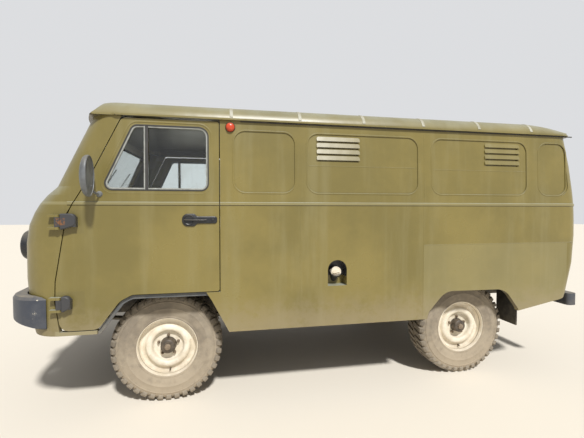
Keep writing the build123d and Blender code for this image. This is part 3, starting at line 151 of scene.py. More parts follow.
def noise(tree, point, scale, detail, rough=0.5):
    return place(tree, "ShaderNodeTexNoise", {"Vector": point, "Scale": scale, "Detail": detail,
                                              "Roughness": rough}).outputs[0]


# how far a face looks up, from -1 to 1
def upShare(tree):
    normal = tree.nodes.new("ShaderNodeNewGeometry").outputs["Normal"]
    return place(tree, "ShaderNodeSeparateXYZ", {0: normal}).outputs[2]


def ramp(tree, value, low, high, start=0.0, end=1.0):
    feeds = {"Value": value, "From Min": low, "From Max": high, "To Min": start, "To Max": end}
    return place(tree, "ShaderNodeMapRange", feeds, interpolation_type="SMOOTHSTEP").outputs[0]


def newGroup(name, inputs, output):
    tree = bpy.data.node_groups.new(name, "ShaderNodeTree")
    for title, value in inputs.items():
        kind = "NodeSocketVector" if isinstance(value, tuple) else "NodeSocketFloat"
        tree.interface.new_socket(title, in_out="INPUT", socket_type=kind).default_value = value
    tree.interface.new_socket(output, in_out="OUTPUT", socket_type="NodeSocketFloat")
    return tree, tree.nodes.new("NodeGroupInput").outputs, tree.nodes.new("NodeGroupOutput").inputs[output]


def objectPoint(tree):
    return tree.nodes.new("ShaderNodeTexCoord").outputs["Object"]


# cloudy patches of a given size, cut between two levels
def makePatchGroup():
    tree, given, out = newGroup("cloudPatches", {"Scale": 4.0, "Detail": 4.0, "Low": 0.4, "High": 0.6,
                                                 "Shift": (0, 0, 0), "Stretch": (1, 1, 1)}, "Mask")
    moved = place(tree, "ShaderNodeMapping", {"Vector": objectPoint(tree), "Location": given["Shift"],
                                              "Scale": given["Stretch"]})
    clouds = noise(tree, moved.outputs[0], given["Scale"], given["Detail"], 0.6)
    tree.links.new(ramp(tree, clouds, given["Low"], given["High"]), out)
    return tree


# dust that lies on faces that look up, broken by noise
def makeDustGroup():
    tree, given, out = newGroup("settledDust", {"Amount": 1.0, "Scale": 9.0}, "Mask")
    upward = ramp(tree, upShare(tree), 0.15, 0.95)
    broken = ramp(tree, noise(tree, objectPoint(tree), given["Scale"], 5.0, 0.65), 0.30, 0.72, 0.45, 1.0)
    tree.links.new(times(tree, times(tree, upward, broken), given["Amount"], True), out)
    return tree


# road dirt that thins out upwards between two heights
def makeSplashGroup():
    tree, given, out = newGroup("roadSplash", {"Bottom": 0.3, "Top": 0.9, "Scale": 12.0, "Amount": 1.0},
                                "Mask")
    point = objectPoint(tree)
    split = place(tree, "ShaderNodeSeparateXYZ", {0: point})
    height = ramp(tree, split.outputs[2], given["Bottom"], given["Top"], 1.0, 0.0)
    spray = calc(tree, "ADD", noise(tree, point, given["Scale"], 6.0, 0.7), times(tree, height, 0.35))
    spots = times(tree, ramp(tree, spray, 0.45, 0.85), height)
    tree.links.new(times(tree, spots, given["Amount"], True), out)
    return tree


# small sharp chips
def makeChipGroup():
    tree, given, out = newGroup("paintChips", {"Scale": 30.0, "Level": 0.70, "Patch": 5.0}, "Mask")
    point = objectPoint(tree)
    fine = noise(tree, point, given["Scale"], 6.0, 0.7)
    wide = noise(tree, point, given["Patch"], 2.0)
    level = calc(tree, "ADD", times(tree, fine, 0.75), times(tree, wide, 0.35))
    tree.links.new(ramp(tree, level, given["Level"], calc(tree, "ADD", given["Level"], 0.012)), out)
    return tree


# fine surface grain, as a height for a bump
def makeGrainGroup():
    tree, given, out = newGroup("fineGrain", {"Scale": 200.0, "Waves": 6.0}, "Height")
    point = objectPoint(tree)
    fine = noise(tree, point, given["Scale"], 3.0)
    broad = noise(tree, point, given["Waves"], 2.0)
    tree.links.new(calc(tree, "ADD", times(tree, fine, 0.15), times(tree, broad, 2.2)), out)
    return tree


groups = {"patches": makePatchGroup(), "dust": makeDustGroup(), "splash": makeSplashGroup(),
          "chips": makeChipGroup(), "grain": makeGrainGroup()}
print("shader groups made")


def effect(tree, name, **values):
    node = tree.nodes.new("ShaderNodeGroup")
    node.node_tree = groups[name]
    for key, value in values.items():
        node.inputs[key.capitalize()].default_value = value
    return node.outputs[0]


def newMaterial(name, **fixed):
    material = bpy.data.materials.new(name)
    material.use_nodes = True
    tree = material.node_tree
    shader = tree.nodes["Principled BSDF"]
    for key, value in fixed.items():
        shader.inputs[key].default_value = value
    return material, tree, shader


def addBump(tree, shader, height, strength, distance):
    bump = place(tree, "ShaderNodeBump", {"Height": height, "Strength": strength, "Distance": distance})
    tree.links.new(bump.outputs[0], shader.inputs["Normal"])


# one where the point lies in a box, with soft edges
def boxMask(tree, low, high, soft=0.003):
    split = place(tree, "ShaderNodeSeparateXYZ", {0: objectPoint(tree)})
    mask = 1.0
    for value, start, end in zip(split.outputs, low, high):
        if start is not None:
            mask = times(tree, mask, times(tree, ramp(tree, value, start - soft, start),
                                           ramp(tree, value, end, end + soft, 1.0, 0.0)))
    return mask


# faded olive body paint; dark boxes are cast fittings that belong to the same solid, and painted shade in the
# upper part of the filler pockets
paint = {
    "green": (0.222, 0.176, 0.052),
    "deep": (0.168, 0.136, 0.040),
    "pale": (0.280, 0.250, 0.128),
    "dust": (0.335, 0.355, 0.305),
    # painted shade for faces that look down
    "paintedUnderShade": (0.060, 0.055, 0.040),
    "mud": (0.300, 0.245, 0.165),
    # dark colour of the cast fittings, also used as painted shade in the filler pockets
    "fittingAndShade": (0.045, 0.045, 0.048),
    "rust": (0.190, 0.085, 0.035),
    "rough": 0.30,
}


def bodyPaint(name, fade=0.0, dust=0.8, darkFittingAndShadeBoxes=(), rustBoxes=(), paleBoxes=(), rough=0.0):
    material, tree, shader = newMaterial(name)
    clouds = effect(tree, "patches", scale=1.7, detail=5.0, low=0.36, high=0.68)
    runs = effect(tree, "patches", scale=9.0, detail=5.0, low=0.46, high=0.74, stretch=(1.0, 1.0, 0.10))
    wipes = effect(tree, "patches", scale=3.1, detail=6.0, low=0.52, high=0.75, stretch=(1.0, 1.0, 0.35),
                   shift=(4.0, 2.0, 1.0))
    settled = effect(tree, "dust", amount=dust, scale=7.0)
    muddy = effect(tree, "splash", bottom=0.50, top=0.85, scale=16.0, amount=0.45)
    chips = effect(tree, "chips", scale=45.0, level=0.745, patch=3.0)
    layers = [(times(tree, runs, 0.30), "pale"), (times(tree, wipes, 0.28), "deep")]
    if fade:
        layers.append((fade, "dust"))
    layers += [(times(tree, boxMask(tree, low, high), amount), "pale") for low, high, amount in paleBoxes]
    # faces that look down are darkened as painted shade
    layers += [(settled, "dust"), (ramp(tree, upShare(tree), -0.75, -0.25, 0.75, 0.0), "paintedUnderShade"),
               (muddy, "mud"), (times(tree, chips, 0.7), "deep")]
    # dark boxes: cast fittings, and painted shade in the filler pockets
    layers += [(boxMask(tree, low, high), "fittingAndShade") for low, high in darkFittingAndShadeBoxes]
    for low, high in rustBoxes:
        flecks = effect(tree, "patches", scale=60.0, detail=4.0, low=0.40, high=0.56)
        layers.append((times(tree, boxMask(tree, low, high), flecks), "rust"))
    colour = mixColour(tree, clouds, paint["deep"], paint["green"])
    for mask, tone in layers:
        colour = mixColour(tree, mask, colour, paint[tone])
    tree.links.new(colour, shader.inputs["Base Color"])
    gloss = calc(tree, "ADD", times(tree, clouds, -0.07), paint["rough"] + rough + 0.04)
    gloss = calc(tree, "ADD", gloss, times(tree, calc(tree, "MAXIMUM", settled, muddy), 0.40), True)
    tree.links.new(gloss, shader.inputs["Roughness"])
    grain = effect(tree, "grain", scale=240.0, waves=5.0)
    addBump(tree, shader, calc(tree, "SUBTRACT", grain, times(tree, chips, 0.4)), 0.35, 0.0035)
    return material


# plain painted or bare metal, plastic and rubber: base and second colour, dirt and grain
def workedSurface(name, base, second, rough, dirt=(0.33, 0.28, 0.20), dustAmount=0.6, splash=(0.1, 0.8, 0.6),
                  chipColour=None, chipLevel=0.74, metallic=0.0, grain=220.0, depth=0.0015, patchScale=14.0,
                  chipScale=60.0):
    material, tree, shader = newMaterial(name, Metallic=metallic)
    clouds = effect(tree, "patches", scale=patchScale, detail=6.0, low=0.38, high=0.66)
    colour = mixColour(tree, clouds, base, second)
    height = effect(tree, "grain", scale=grain, waves=20.0)
    if chipColour:
        chips = effect(tree, "chips", scale=chipScale, level=chipLevel, patch=8.0)
        colour = mixColour(tree, chips, colour, chipColour)
        height = calc(tree, "SUBTRACT", height, times(tree, chips, 0.8))
    settled = effect(tree, "dust", amount=dustAmount, scale=16.0)
    low, high, amount = splash
    muddy = effect(tree, "splash", bottom=low, top=high, scale=22.0, amount=amount)
    soil = calc(tree, "MAXIMUM", settled, muddy)
    tree.links.new(mixColour(tree, soil, colour, dirt), shader.inputs["Base Color"])
    gloss = calc(tree, "ADD", times(tree, clouds, 0.10), times(tree, soil, 0.45))
    tree.links.new(calc(tree, "ADD", gloss, rough, True), shader.inputs["Roughness"])
    addBump(tree, shader, height, 0.5, depth)
    return material


def glassMaterial(name, tint, rough=0.02):
    material, tree, shader = newMaterial(name, IOR=1.45)
    shader.inputs["Transmission Weight"].default_value = 1.0
    film = effect(tree, "patches", scale=8.0, detail=6.0, low=0.42, high=0.80)
    runs = effect(tree, "patches", scale=30.0, detail=4.0, low=0.50, high=0.75, stretch=(1.0, 1.0, 0.08))
    haze = calc(tree, "MAXIMUM", film, times(tree, runs, 0.5))
    colour = mixColour(tree, times(tree, haze, 0.25), tint, (0.70, 0.66, 0.56))
    tree.links.new(colour, shader.inputs["Base Color"])
    tree.links.new(calc(tree, "ADD", times(tree, haze, 0.10), rough), shader.inputs["Roughness"])
    addBump(tree, shader, effect(tree, "grain", scale=90.0, waves=3.0), 0.05, 0.001)
    return material


# cast hoods over the front doors' hinges, and the rusty face at the front of the upper ones
hingeHoods = [((-1.84, y[0], z[0]), (-1.675, y[1], z[1])) for y in ((-1.2, -0.9675), (0.9675, 1.2))
              for z in ((1.19, 1.335), (0.68, 0.825))]
hingeRust = [((-1.815, y[0], 1.245), (-1.765, y[1], 1.285)) for y in ((-1.2, -0.975), (0.975, 1.2))]
# painted highlight along the belt bead
beadPaintedHighlight = ((None, None, 1.371), (None, None, 1.387), 0.55)
# painted shade: the dark upper part of the two filler pockets
fillerPaintedShade = [((-0.0865, -0.957, 0.855), (0.0585, -0.860, 0.980)),
               ((0.0575, 0.860, 0.855), (0.2025, 0.957, 0.980))]
# pale wear on the sill below the cab door; the tops of the roof's ribs paler for wear and as a painted
# highlight
paleSill = ((-1.845, None, 0.540), (-1.590, None, 0.5765), 0.80)
ribTopsWearAndHighlight = [((x - 0.011, -0.59, None), (x + 0.011, 0.59, None), 0.80)
        for x in (-0.760, -0.286, 0.188, 0.662, 1.136, 1.610)]
# duller repair panel on the left rear side
repairPanel = ((0.668, -1.0, 0.50), (2.06, -0.8, 1.071), 0.34)
looks = {
    "side": bodyPaint("oliveSide", darkFittingAndShadeBoxes=fillerPaintedShade, paleBoxes=[beadPaintedHighlight, repairPanel]),
    "plain": bodyPaint("olivePlain", paleBoxes=[beadPaintedHighlight, paleSill]),
    "frontDoor": bodyPaint("oliveFrontDoor", darkFittingAndShadeBoxes=hingeHoods, rustBoxes=hingeRust,
                           paleBoxes=[beadPaintedHighlight]),
    "roof": bodyPaint("oliveRoof", fade=0.06, dust=0.45, paleBoxes=ribTopsWearAndHighlight, rough=0.02),
    "inner": bodyPaint("oliveInner", dust=0.35),
    "floor": workedSurface("floorPaint", (0.085, 0.085, 0.06), (0.13, 0.125, 0.09), 0.62,
                           chipColour=(0.20, 0.17, 0.13), chipLevel=0.70),
    "chassis": workedSurface("chassisPaint", (0.022, 0.022, 0.024), (0.045, 0.040, 0.036), 0.55,
                             chipColour=(0.14, 0.065, 0.03), chipLevel=0.71, splash=(0.2, 0.95, 0.75)),
    "bumper": workedSurface("bumperPaint", (0.040, 0.047, 0.064), (0.060, 0.066, 0.080), 0.42,
                            chipColour=(0.62, 0.57, 0.46), chipLevel=0.700, chipScale=26.0,
                            splash=(0.3, 0.8, 0.35)),
    "cast": workedSurface("castMetal", (0.07, 0.068, 0.064), (0.11, 0.10, 0.09), 0.50, metallic=0.6,
                          chipColour=(0.05, 0.035, 0.02), chipLevel=0.68),
    "exhaust": workedSurface("exhaustSteel", (0.16, 0.085, 0.045), (0.24, 0.17, 0.12), 0.68, metallic=0.5,
                             chipColour=(0.09, 0.04, 0.02), chipLevel=0.66),
    "black": workedSurface("blackFittings", (0.014, 0.015, 0.018), (0.024, 0.025, 0.027), 0.27,
                           dustAmount=0.35, splash=(0.2, 0.9, 0.2), depth=0.0006),
    # weathered rubber; the same black also paints the gutter's shadow and the shade in the intake slots
    "rubberAndPaintedShade": workedSurface("weatheredRubberAndPaintedShade", (0.035, 0.034, 0.032), (0.055, 0.052, 0.047), 0.70,
                            splash=(0.1, 0.9, 0.5), depth=0.0008),
    "wheel": workedSurface("creamWheel", (0.80, 0.73, 0.60), (0.68, 0.60, 0.46), 0.42,
                           dirt=(0.36, 0.29, 0.20), dustAmount=0.35, splash=(0.05, 0.55, 0.55),
                           chipColour=(0.16, 0.10, 0.06), chipLevel=0.735, chipScale=26.0),
    "tyre": workedSurface("dustyTyre", (0.215, 0.180, 0.135), (0.310, 0.262, 0.195), 0.86,
                          dirt=(0.43, 0.355, 0.255), dustAmount=0.5, splash=(0.0, 0.75, 0.75), grain=160.0,
                          depth=0.0018, patchScale=9.0),
    "tread": workedSurface("wornTread", (0.140, 0.118, 0.090), (0.205, 0.172, 0.130), 0.84,
                           dirt=(0.34, 0.29, 0.22), dustAmount=0.5, splash=(0.0, 0.75, 0.7), grain=160.0,
                           depth=0.0015, patchScale=16.0),
    "grease": workedSurface("greasyHub", (0.035, 0.028, 0.022), (0.095, 0.075, 0.055), 0.38,
                            dirt=(0.20, 0.15, 0.10), dustAmount=0.3, splash=(0.0, 0.8, 0.5), patchScale=40.0),
    "nut": workedSurface("rustyNut", (0.26, 0.20, 0.14), (0.13, 0.09, 0.06), 0.55, metallic=0.3,
                         dirt=(0.30, 0.24, 0.17), patchScale=60.0),
    "glass": glassMaterial("windowGlass", (0.90, 0.95, 0.94)),
    "leather": workedSurface("seatLeathercloth", (0.045, 0.044, 0.040), (0.070, 0.066, 0.058), 0.50,
                             dustAmount=0.35, splash=(0.0, 0.4, 0.0), grain=420.0, depth=0.0012),
    "chrome": workedSurface("lampBowl", (0.70, 0.70, 0.70), (0.60, 0.60, 0.60), 0.12, metallic=1.0,
                            dustAmount=0.05, splash=(0.0, 0.4, 0.0), depth=0.0002),
    # light grey mirror shell: dust, and painted reflection of the sky
    "mirrorShellDustAndReflection": workedSurface("mirrorShellDustAndReflection", (0.155, 0.165, 0.170), (0.095, 0.100, 0.105), 0.34,
                                 dustAmount=0.5, splash=(0.1, 0.6, 0.1), depth=0.0006),
    # pale strips over the roof edge: worn paint with rust chips, and painted highlight along the ridges
    "strip": workedSurface("paleStripWearAndHighlight", (0.44, 0.43, 0.35), (0.32, 0.30, 0.22), 0.60, dustAmount=0.3,
                           splash=(0.1, 0.6, 0.1), chipColour=(0.22, 0.13, 0.07), chipLevel=0.70),
    "redLens": workedSurface("redOrangeLens", (0.62, 0.075, 0.022), (0.50, 0.050, 0.018), 0.20,
                             dustAmount=0.25, splash=(0.1, 0.6, 0.2), depth=0.0004),
    "amberLens": workedSurface("amberLens", (0.75, 0.30, 0.03), (0.62, 0.24, 0.03), 0.22,
                               dustAmount=0.2, splash=(0.1, 0.9, 0.2), depth=0.0004),
    "whiteLens": workedSurface("creamLens", (0.78, 0.76, 0.68), (0.66, 0.64, 0.56), 0.25,
                               dustAmount=0.2, splash=(0.1, 0.9, 0.2), depth=0.0004),
    "lampGlass": glassMaterial("lampGlass", (0.96, 0.97, 0.97), 0.05),
    "lip": workedSurface("archLip", (0.080, 0.086, 0.092), (0.120, 0.124, 0.122), 0.60, dustAmount=0.5,
                         splash=(0.4, 0.9, 0.45), chipColour=(0.21, 0.18, 0.10), chipLevel=0.72),
    "cream": workedSurface("paleFrame", (0.33, 0.34, 0.31), (0.24, 0.245, 0.225), 0.50, dustAmount=0.35,
                           splash=(0.1, 0.6, 0.3), patchScale=30.0),
}
print("materials made")


# each finish and the CAD nodes that take it
nodeLooks = {
    "side": "side_wall_left side_wall_right",
    "plain": "rear_frame nose door_side_panel door_rear_left_panel door_rear_right_panel",
    "frontDoor": "door_front_left_panel door_front_right_panel",
    "roof": "roof",
    "inner": "partition dashboard",
    "floor": "floor_pan wheel_houses engine_cover",
    "chassis": "chassis_frame leaf_springs front_axle rear_axle knuckle_left knuckle_right tie_rod tow_eyes "
               "fuel_tanks steering_gear",
    "bumper": "bumpers",
    "cast": "engine driveline",
    "exhaust": "exhaust",
    "glass": "windscreen_glass door_front_left_glass door_front_right_glass door_rear_left_glass "
             "door_rear_right_glass",
    "leather": "seats",
    "black": "steering_wheel wipers door_front_left_fittings door_front_right_fittings door_side_handle "
             "door_rear_handle",
    "chrome": "headlamps marker_lamps",
    "rubberAndPaintedShade": "mud_flaps",
}


def dressNodes():
    for look, names in nodeLooks.items():
        for name in names.split():
            mesh = nodes[name].data
            if not mesh.materials:
                mesh.materials.append(looks[look])
            for slot in nodes[name].material_slots:
                slot.material = looks[look]
    print("CAD nodes dressed with", len(nodeLooks), "finishes")


def plainMesh(name, bm):
    mesh = bpy.data.meshes.new(name)
    bm.to_mesh(mesh)
    bm.free()
    return mesh


# a tree for finding points on a mesh by rays
def surfaceOf(mesh):
    return BVHTree.FromPolygons([v.co for v in mesh.vertices], [p.vertices for p in mesh.polygons])


# a finished, named piece on its body, with the CAD nodes that it replaces
def finishPiece(name, bm, materials, body, replaces=(), smoothAngle=40):
    bmesh.ops.remove_doubles(bm, verts=bm.verts, dist=mergeReach)
    bmesh.ops.recalc_face_normals(bm, faces=bm.faces)
    mesh = plainMesh(name, bm)
    piece = bpy.data.objects.new(name, mesh)
    bpy.context.scene.collection.objects.link(piece)
    for look in materials:
        mesh.materials.append(looks[look])
    mesh.polygons.foreach_set("use_smooth", [True] * len(mesh.polygons))
    mesh.set_sharp_from_angle(angle=math.radians(smoothAngle))
    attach(piece, body)
    if replaces:
        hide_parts(*replaces)
    return piece


# cosine and sine of even steps round a circle
def turns(steps):
    return [(math.cos(2 * math.pi * i / steps), math.sin(2 * math.pi * i / steps)) for i in range(steps)]


# faces between neighbouring rings of points, where a ring may be one point
def joinRings(bm, rings, closed=False):
    steps = max(len(ring) for ring in rings)
    for first, second in list(zip(rings, rings[1:])) + ([(rings[-1], rings[0])] if closed else []):
        for i in range(steps):
            j = (i + 1) % steps
            corners = [first[i % len(first)], first[j % len(first)], second[j % len(second)],
                       second[i % len(second)]]
            kept = [v for k, v in enumerate(corners) if v not in corners[:k]]
            if len(kept) > 2:
                bm.faces.new(kept)


def cappedMesh(name, bm, rings):
    joinRings(bm, rings)
    bm.faces.new(rings[0])
    bm.faces.new(rings[-1])
    bmesh.ops.recalc_face_normals(bm, faces=bm.faces)
    return plainMesh(name, bm)


# a profile of (radius, distance along the axis) turned about an axis along Y, or X
def lathe(bm, profile, centre, sign, steps, closed=False, axis="Y"):
    rings = [[bm.verts.new(turnPoint(centre, radius * across, radius * up, sign * along, axis))
              for across, up in (turns(steps) if radius else [(0.0, 0.0)])] for radius, along in profile]
    joinRings(bm, rings, closed)


def turnPoint(centre, across, up, along, axis):
    if axis == "Y":
        return (centre[0] + across, centre[1] + along, centre[2] + up)
    return (centre[0] + along, centre[1] + across, centre[2] + up)


# one piece turned from profiles, each with its number of steps
def turnedPiece(name, profiles, centre, sign, look, body, replaces=(), axis="Y", closed=False,
                smoothAngle=40):
    bm = bmesh.new()
    for profile, steps in profiles:
        lathe(bm, profile, centre, sign, steps, closed, axis)
    finishPiece(name, bm, [look], body, replaces, smoothAngle)


# a closed loop of section points carried along a path; frames are (side, up) vectors for each path point
def sweep(bm, path, frames, section, closed=True):
    rings = [[bm.verts.new(Vector(point) + side * a + up * b) for a, b in section]
             for point, (side, up) in zip(path, frames)]
    joinRings(bm, rings, closed)
    if not closed:
        bm.faces.new(rings[0])
        bm.faces.new(rings[-1])


def tube(bm, path, radius, sides, closed=False, flat=1.0):
    points = [Vector(p) for p in path]
    frames = []
    count = len(points)
    last = None
    for i, point in enumerate(points):
        before = points[i - 1] if i or closed else point
        after = points[(i + 1) % count] if i + 1 < count or closed else point
        along = (after - before).normalized()
        if last is None:
            last = Vector((0, 0, 1)) if abs(along.z) < 0.9 else Vector((1, 0, 0))
        side = along.cross(last).normalized()
        last = side.cross(along).normalized()
        frames.append((side, last))
    sweep(bm, points, frames, [(radius * c, radius * flat * s) for c, s in turns(sides)], closed)


def bevelBox(bm, low, high, bevel, segments):
    verts = bmesh.ops.create_cube(bm, size=1.0)["verts"]
    for vert in verts:
        vert.co = Vector([low[k] if vert.co[k] < 0 else high[k] for k in range(3)])
    edges = list(dict.fromkeys(edge for vert in verts for edge in vert.link_edges))
    bmesh.ops.bevel(bm, geom=edges, offset=bevel, segments=segments, affect="EDGES", profile=0.5)


# corners of an outline with a radius at each, walked round at an even step
def roundedOutline(corners, radii, steps=8):
    points = []
    count = len(corners)
    for i in range(count):
        here = Vector(corners[i])
        back = (Vector(corners[i - 1]) - here).normalized()
        ahead = (Vector(corners[(i + 1) % count]) - here).normalized()
        half = back.angle(ahead) / 2
        reach = radii[i] / math.tan(half)
        centre = here + (back + ahead).normalized() * (radii[i] / math.sin(half))
        start, end = here + back * reach, here + ahead * reach
        a = math.atan2(start.y - centre.y, start.x - centre.x)
        b = math.atan2(end.y - centre.y, end.x - centre.x)
        turn = (b - a + math.pi) % (2 * math.pi) - math.pi
        for k in range(steps + 1):
            angle = a + turn * k / steps
            points.append((centre.x + radii[i] * math.cos(angle), centre.y + radii[i] * math.sin(angle)))
    return points


# geometry nodes: the inputs and the end that both trees of copies share
def newCopyTree(name, vectors):
    tree = bpy.data.node_groups.new(name, "GeometryNodeTree")
    for title, kind in (("Geometry", "Geometry"), ("Count", "Int"), *((title, "Vector") for title in vectors),
                        ("Finish", "Material")):
        tree.interface.new_socket(title, in_out="INPUT", socket_type="NodeSocket" + kind)
    tree.interface.new_socket("Geometry", in_out="OUTPUT", socket_type="NodeSocketGeometry")
    return tree, tree.nodes.new("NodeGroupInput").outputs


def closeCopyTree(tree, given, feeds):
    copies = place(tree, "GeometryNodeInstanceOnPoints", {"Instance": given["Geometry"], **feeds})
    real = place(tree, "GeometryNodeRealizeInstances", {0: copies.outputs[0]})
    dressed = place(tree, "GeometryNodeSetMaterial", {"Geometry": real.outputs[0],
                                                      "Material": given["Finish"]})
    tree.links.new(dressed.outputs[0], tree.nodes.new("NodeGroupOutput").inputs[0])
    return tree


# copies of a part turned about a wheel's axis
def makeRingTree():
    tree, given = newCopyTree("ringOfCopies", ["Centre", "Axis"])
    points = place(tree, "GeometryNodePoints", {"Count": given["Count"], "Position": given["Centre"]})
    index = tree.nodes.new("GeometryNodeInputIndex").outputs[0]
    angle = times(tree, calc(tree, "DIVIDE", index, given["Count"]), 2 * math.pi)
    turn = place(tree, "FunctionNodeAxisAngleToRotation", {"Axis": given["Axis"], "Angle": angle})
    return closeCopyTree(tree, given, {"Points": points.outputs[0], "Rotation": turn.outputs[0]})


# copies of a part along a straight row
def makeRowTree():
    tree, given = newCopyTree("rowOfCopies", ["Start", "Step"])
    row = place(tree, "GeometryNodeMeshLine", {"Count": given["Count"], "Start Location": given["Start"],
                                               "Offset": given["Step"]}, mode="OFFSET")
    return closeCopyTree(tree, given, {"Points": row.outputs[0]})


ringTree = makeRingTree()
rowTree = makeRowTree()


# runs one tree on one small mesh and gives the copies as one plain mesh
def growCopies(tree, partMesh, look, values):
    holder = bpy.data.objects.new("copyHolder", partMesh)
    bpy.context.scene.collection.objects.link(holder)
    modifier = holder.modifiers.new("copies", "NODES")
    modifier.node_group = tree
    values = {**values, "Finish": looks[look]}
    for item in tree.interface.items_tree:
        if item.in_out == "INPUT" and item.name in values:
            modifier[item.identifier] = values[item.name]
    made = bpy.data.meshes.new_from_object(holder.evaluated_get(bpy.context.evaluated_depsgraph_get()))
    gathered = bmesh.new()
    gathered.from_mesh(made)
    bpy.data.objects.remove(holder)
    bpy.data.meshes.remove(made)
    return gathered


# tyres: moulded carcass with sidewall rings, and forty lugs a side by geometry nodes
tyre = {
    "centres": {"front_left": (-1.2025, -0.7225, 0.377), "front_right": (-1.2025, 0.7225, 0.377),
                "rear_left": (1.0975, -0.7225, 0.377), "rear_right": (1.0975, 0.7225, 0.377)},
    "radius": 0.3768,
    "floor": 0.3640,
    "lugs": 40,
    "profile": [(0.200, 0.084), (0.206, 0.096), (0.212, 0.0985), (0.218, 0.0965), (0.224, 0.0985),
                (0.236, 0.1015), (0.255, 0.1040), (0.272, 0.1050), (0.2735, 0.1058), (0.2765, 0.1058),
                (0.278, 0.1050), (0.300, 0.1045), (0.3165, 0.1025), (0.318, 0.1045), (0.3215, 0.1045),
                (0.323, 0.1015), (0.335, 0.0985), (0.347, 0.0930), (0.357, 0.0850), (0.3625, 0.0740),
                (0.3640, 0.0450), (0.3640, 0.0)],
    "inner": [(0.200, -0.084), (0.193, -0.070), (0.193, 0.070), (0.200, 0.084)],
}


# one lug in the wheel's own polar frame: from near the middle, slanted, over the shoulder and down the side
def makeLug(side):
    bm = bmesh.new()
    width, slant, low, top = 0.0375, 0.036, tyre["floor"] - 0.004, tyre["radius"]
    stations = [(0.007, 0.0, low, top), (0.040, 0.35, low, top), (0.076, 0.80, low, top - 0.001),
                (0.094, 0.98, low - 0.009, top - 0.0065), (0.1035, 1.04, 0.340, 0.3560),
                (0.1045, 1.05, 0.333, 0.3400)]
    rings = []
    for y, share, inner, outer in stations:
        narrow = 0.82 if share == 0 else (0.90 if outer < 0.35 else 1.0)
        ring = []
        for radius, edge in ((inner, 1), (outer - 0.003, 0.97), (outer, 0.86), (outer, -0.86),
                             (outer - 0.003, -0.97), (inner, -1)):
            angle = (share * slant + width / 2 * edge * narrow) / tyre["radius"] * side
            inset = 0.006 if radius < outer - 0.001 and outer < 0.36 else 0.0
            spot = (radius * math.sin(angle), side * (y - inset), radius * math.cos(angle))
            ring.append(bm.verts.new(spot))
        rings.append(ring)
    return cappedMesh("lug", bm, rings)


def turnedMesh(source, angle):
    bm = bmesh.new()
    bm.from_mesh(source)
    cosine, sine = math.cos(angle), math.sin(angle)
    for vert in bm.verts:
        x, z = vert.co.x, vert.co.z
        vert.co.x, vert.co.z = x * cosine + z * sine, z * cosine - x * sine
    return plainMesh("lugTurned", bm)


def makeTyres():
    half = tyre["profile"]
    outside = half + [(r, -y) for r, y in reversed(half[:-1])]
    lugs = (makeLug(1), turnedMesh(makeLug(-1), math.pi / tyre["lugs"]))
    for corner, centre in tyre["centres"].items():
        body = f"roadwheel_{corner}"
        turnedPiece(f"tyreBody_{corner}", [(outside, 120), (tyre["inner"], 120)], centre, 1, "tyre", body,
                    [f"tyre_{corner}"])
        gathered = bmesh.new()
        for mesh in lugs:
            copies = growCopies(ringTree, mesh, "tread", {"Count": tyre["lugs"], "Centre": centre,
                                                          "Axis": (0.0, 1.0, 0.0)})
            gathered.from_mesh(plainMesh("treadHalf", copies))
        finishPiece(f"tyreLugs_{corner}", gathered, ["tread"], body, smoothAngle=25)
    print("tyres made")


# pressed steel wheels: rim and dished disc, hub, valve and five nuts, (radius, outward) in metres
wheel = {
    "face": [(0.2075, 0.0900), (0.2060, 0.0935), (0.2015, 0.0940), (0.1985, 0.0900), (0.1955, 0.0800),
             (0.1925, 0.0620), (0.1880, 0.0450), (0.1760, 0.0405), (0.1630, 0.0430), (0.1560, 0.0480),
             (0.1520, 0.0550), (0.1470, 0.0630), (0.1380, 0.0680), (0.1270, 0.0690), (0.1160, 0.0670),
             (0.1090, 0.0610), (0.1050, 0.0510), (0.1020, 0.0400), (0.0970, 0.0345), (0.0900, 0.0330),
             (0.0600, 0.0330), (0.0300, 0.0330)],
    "back": [(0.0300, 0.0270), (0.0930, 0.0270), (0.1010, 0.0320), (0.1060, 0.0450), (0.1150, 0.0600),
             (0.1380, 0.0620), (0.1470, 0.0540), (0.1530, 0.0430), (0.1700, 0.0420), (0.1810, 0.0300),
             (0.1810, -0.0300), (0.1900, -0.0450), (0.1920, -0.0860), (0.2010, -0.0945), (0.2060, -0.0935),
             (0.2075, -0.0900), (0.1975, -0.0860), (0.1950, -0.0450), (0.1860, -0.0330), (0.1860, 0.0330),
             (0.1950, 0.0450), (0.1975, 0.0860)],
    "hub": [(0.0, 0.0860), (0.0320, 0.0860), (0.0440, 0.0840), (0.0485, 0.0800), (0.0500, 0.0740),
            (0.0510, 0.0430), (0.0540, 0.0370), (0.0560, 0.0330), (0.0560, 0.0280), (0.0, 0.0280)],
    "hubEnd": [(0.0, 0.0990), (0.0165, 0.0990), (0.0200, 0.0975), (0.0215, 0.0940), (0.0215, 0.0850),
               (0.0, 0.0850)],
    "nutRing": 0.06985,
    "nutRadius": 0.0110,
    "nuts": 5,
    "valve": (0.172, 0.0440, 0.0720, -1.50),
}


# hexagon nut with a stud end, on the wheel's nut circle
def makeNut(side):
    bm = bmesh.new()
    low, high, radius = 0.0320, 0.0480, wheel["nutRadius"]
    levels = ((1.0, low), (1.0, high - 0.003), (0.84, high), (0.55, high), (0.52, high + 0.007),
              (0.40, high + 0.009))
    rings = [[bm.verts.new((radius * scale * math.cos(i * math.pi / 3), side * y,
                            wheel["nutRing"] + radius * scale * math.sin(i * math.pi / 3)))
              for i in range(6)] for scale, y in levels]
    return cappedMesh("nut", bm, rings)


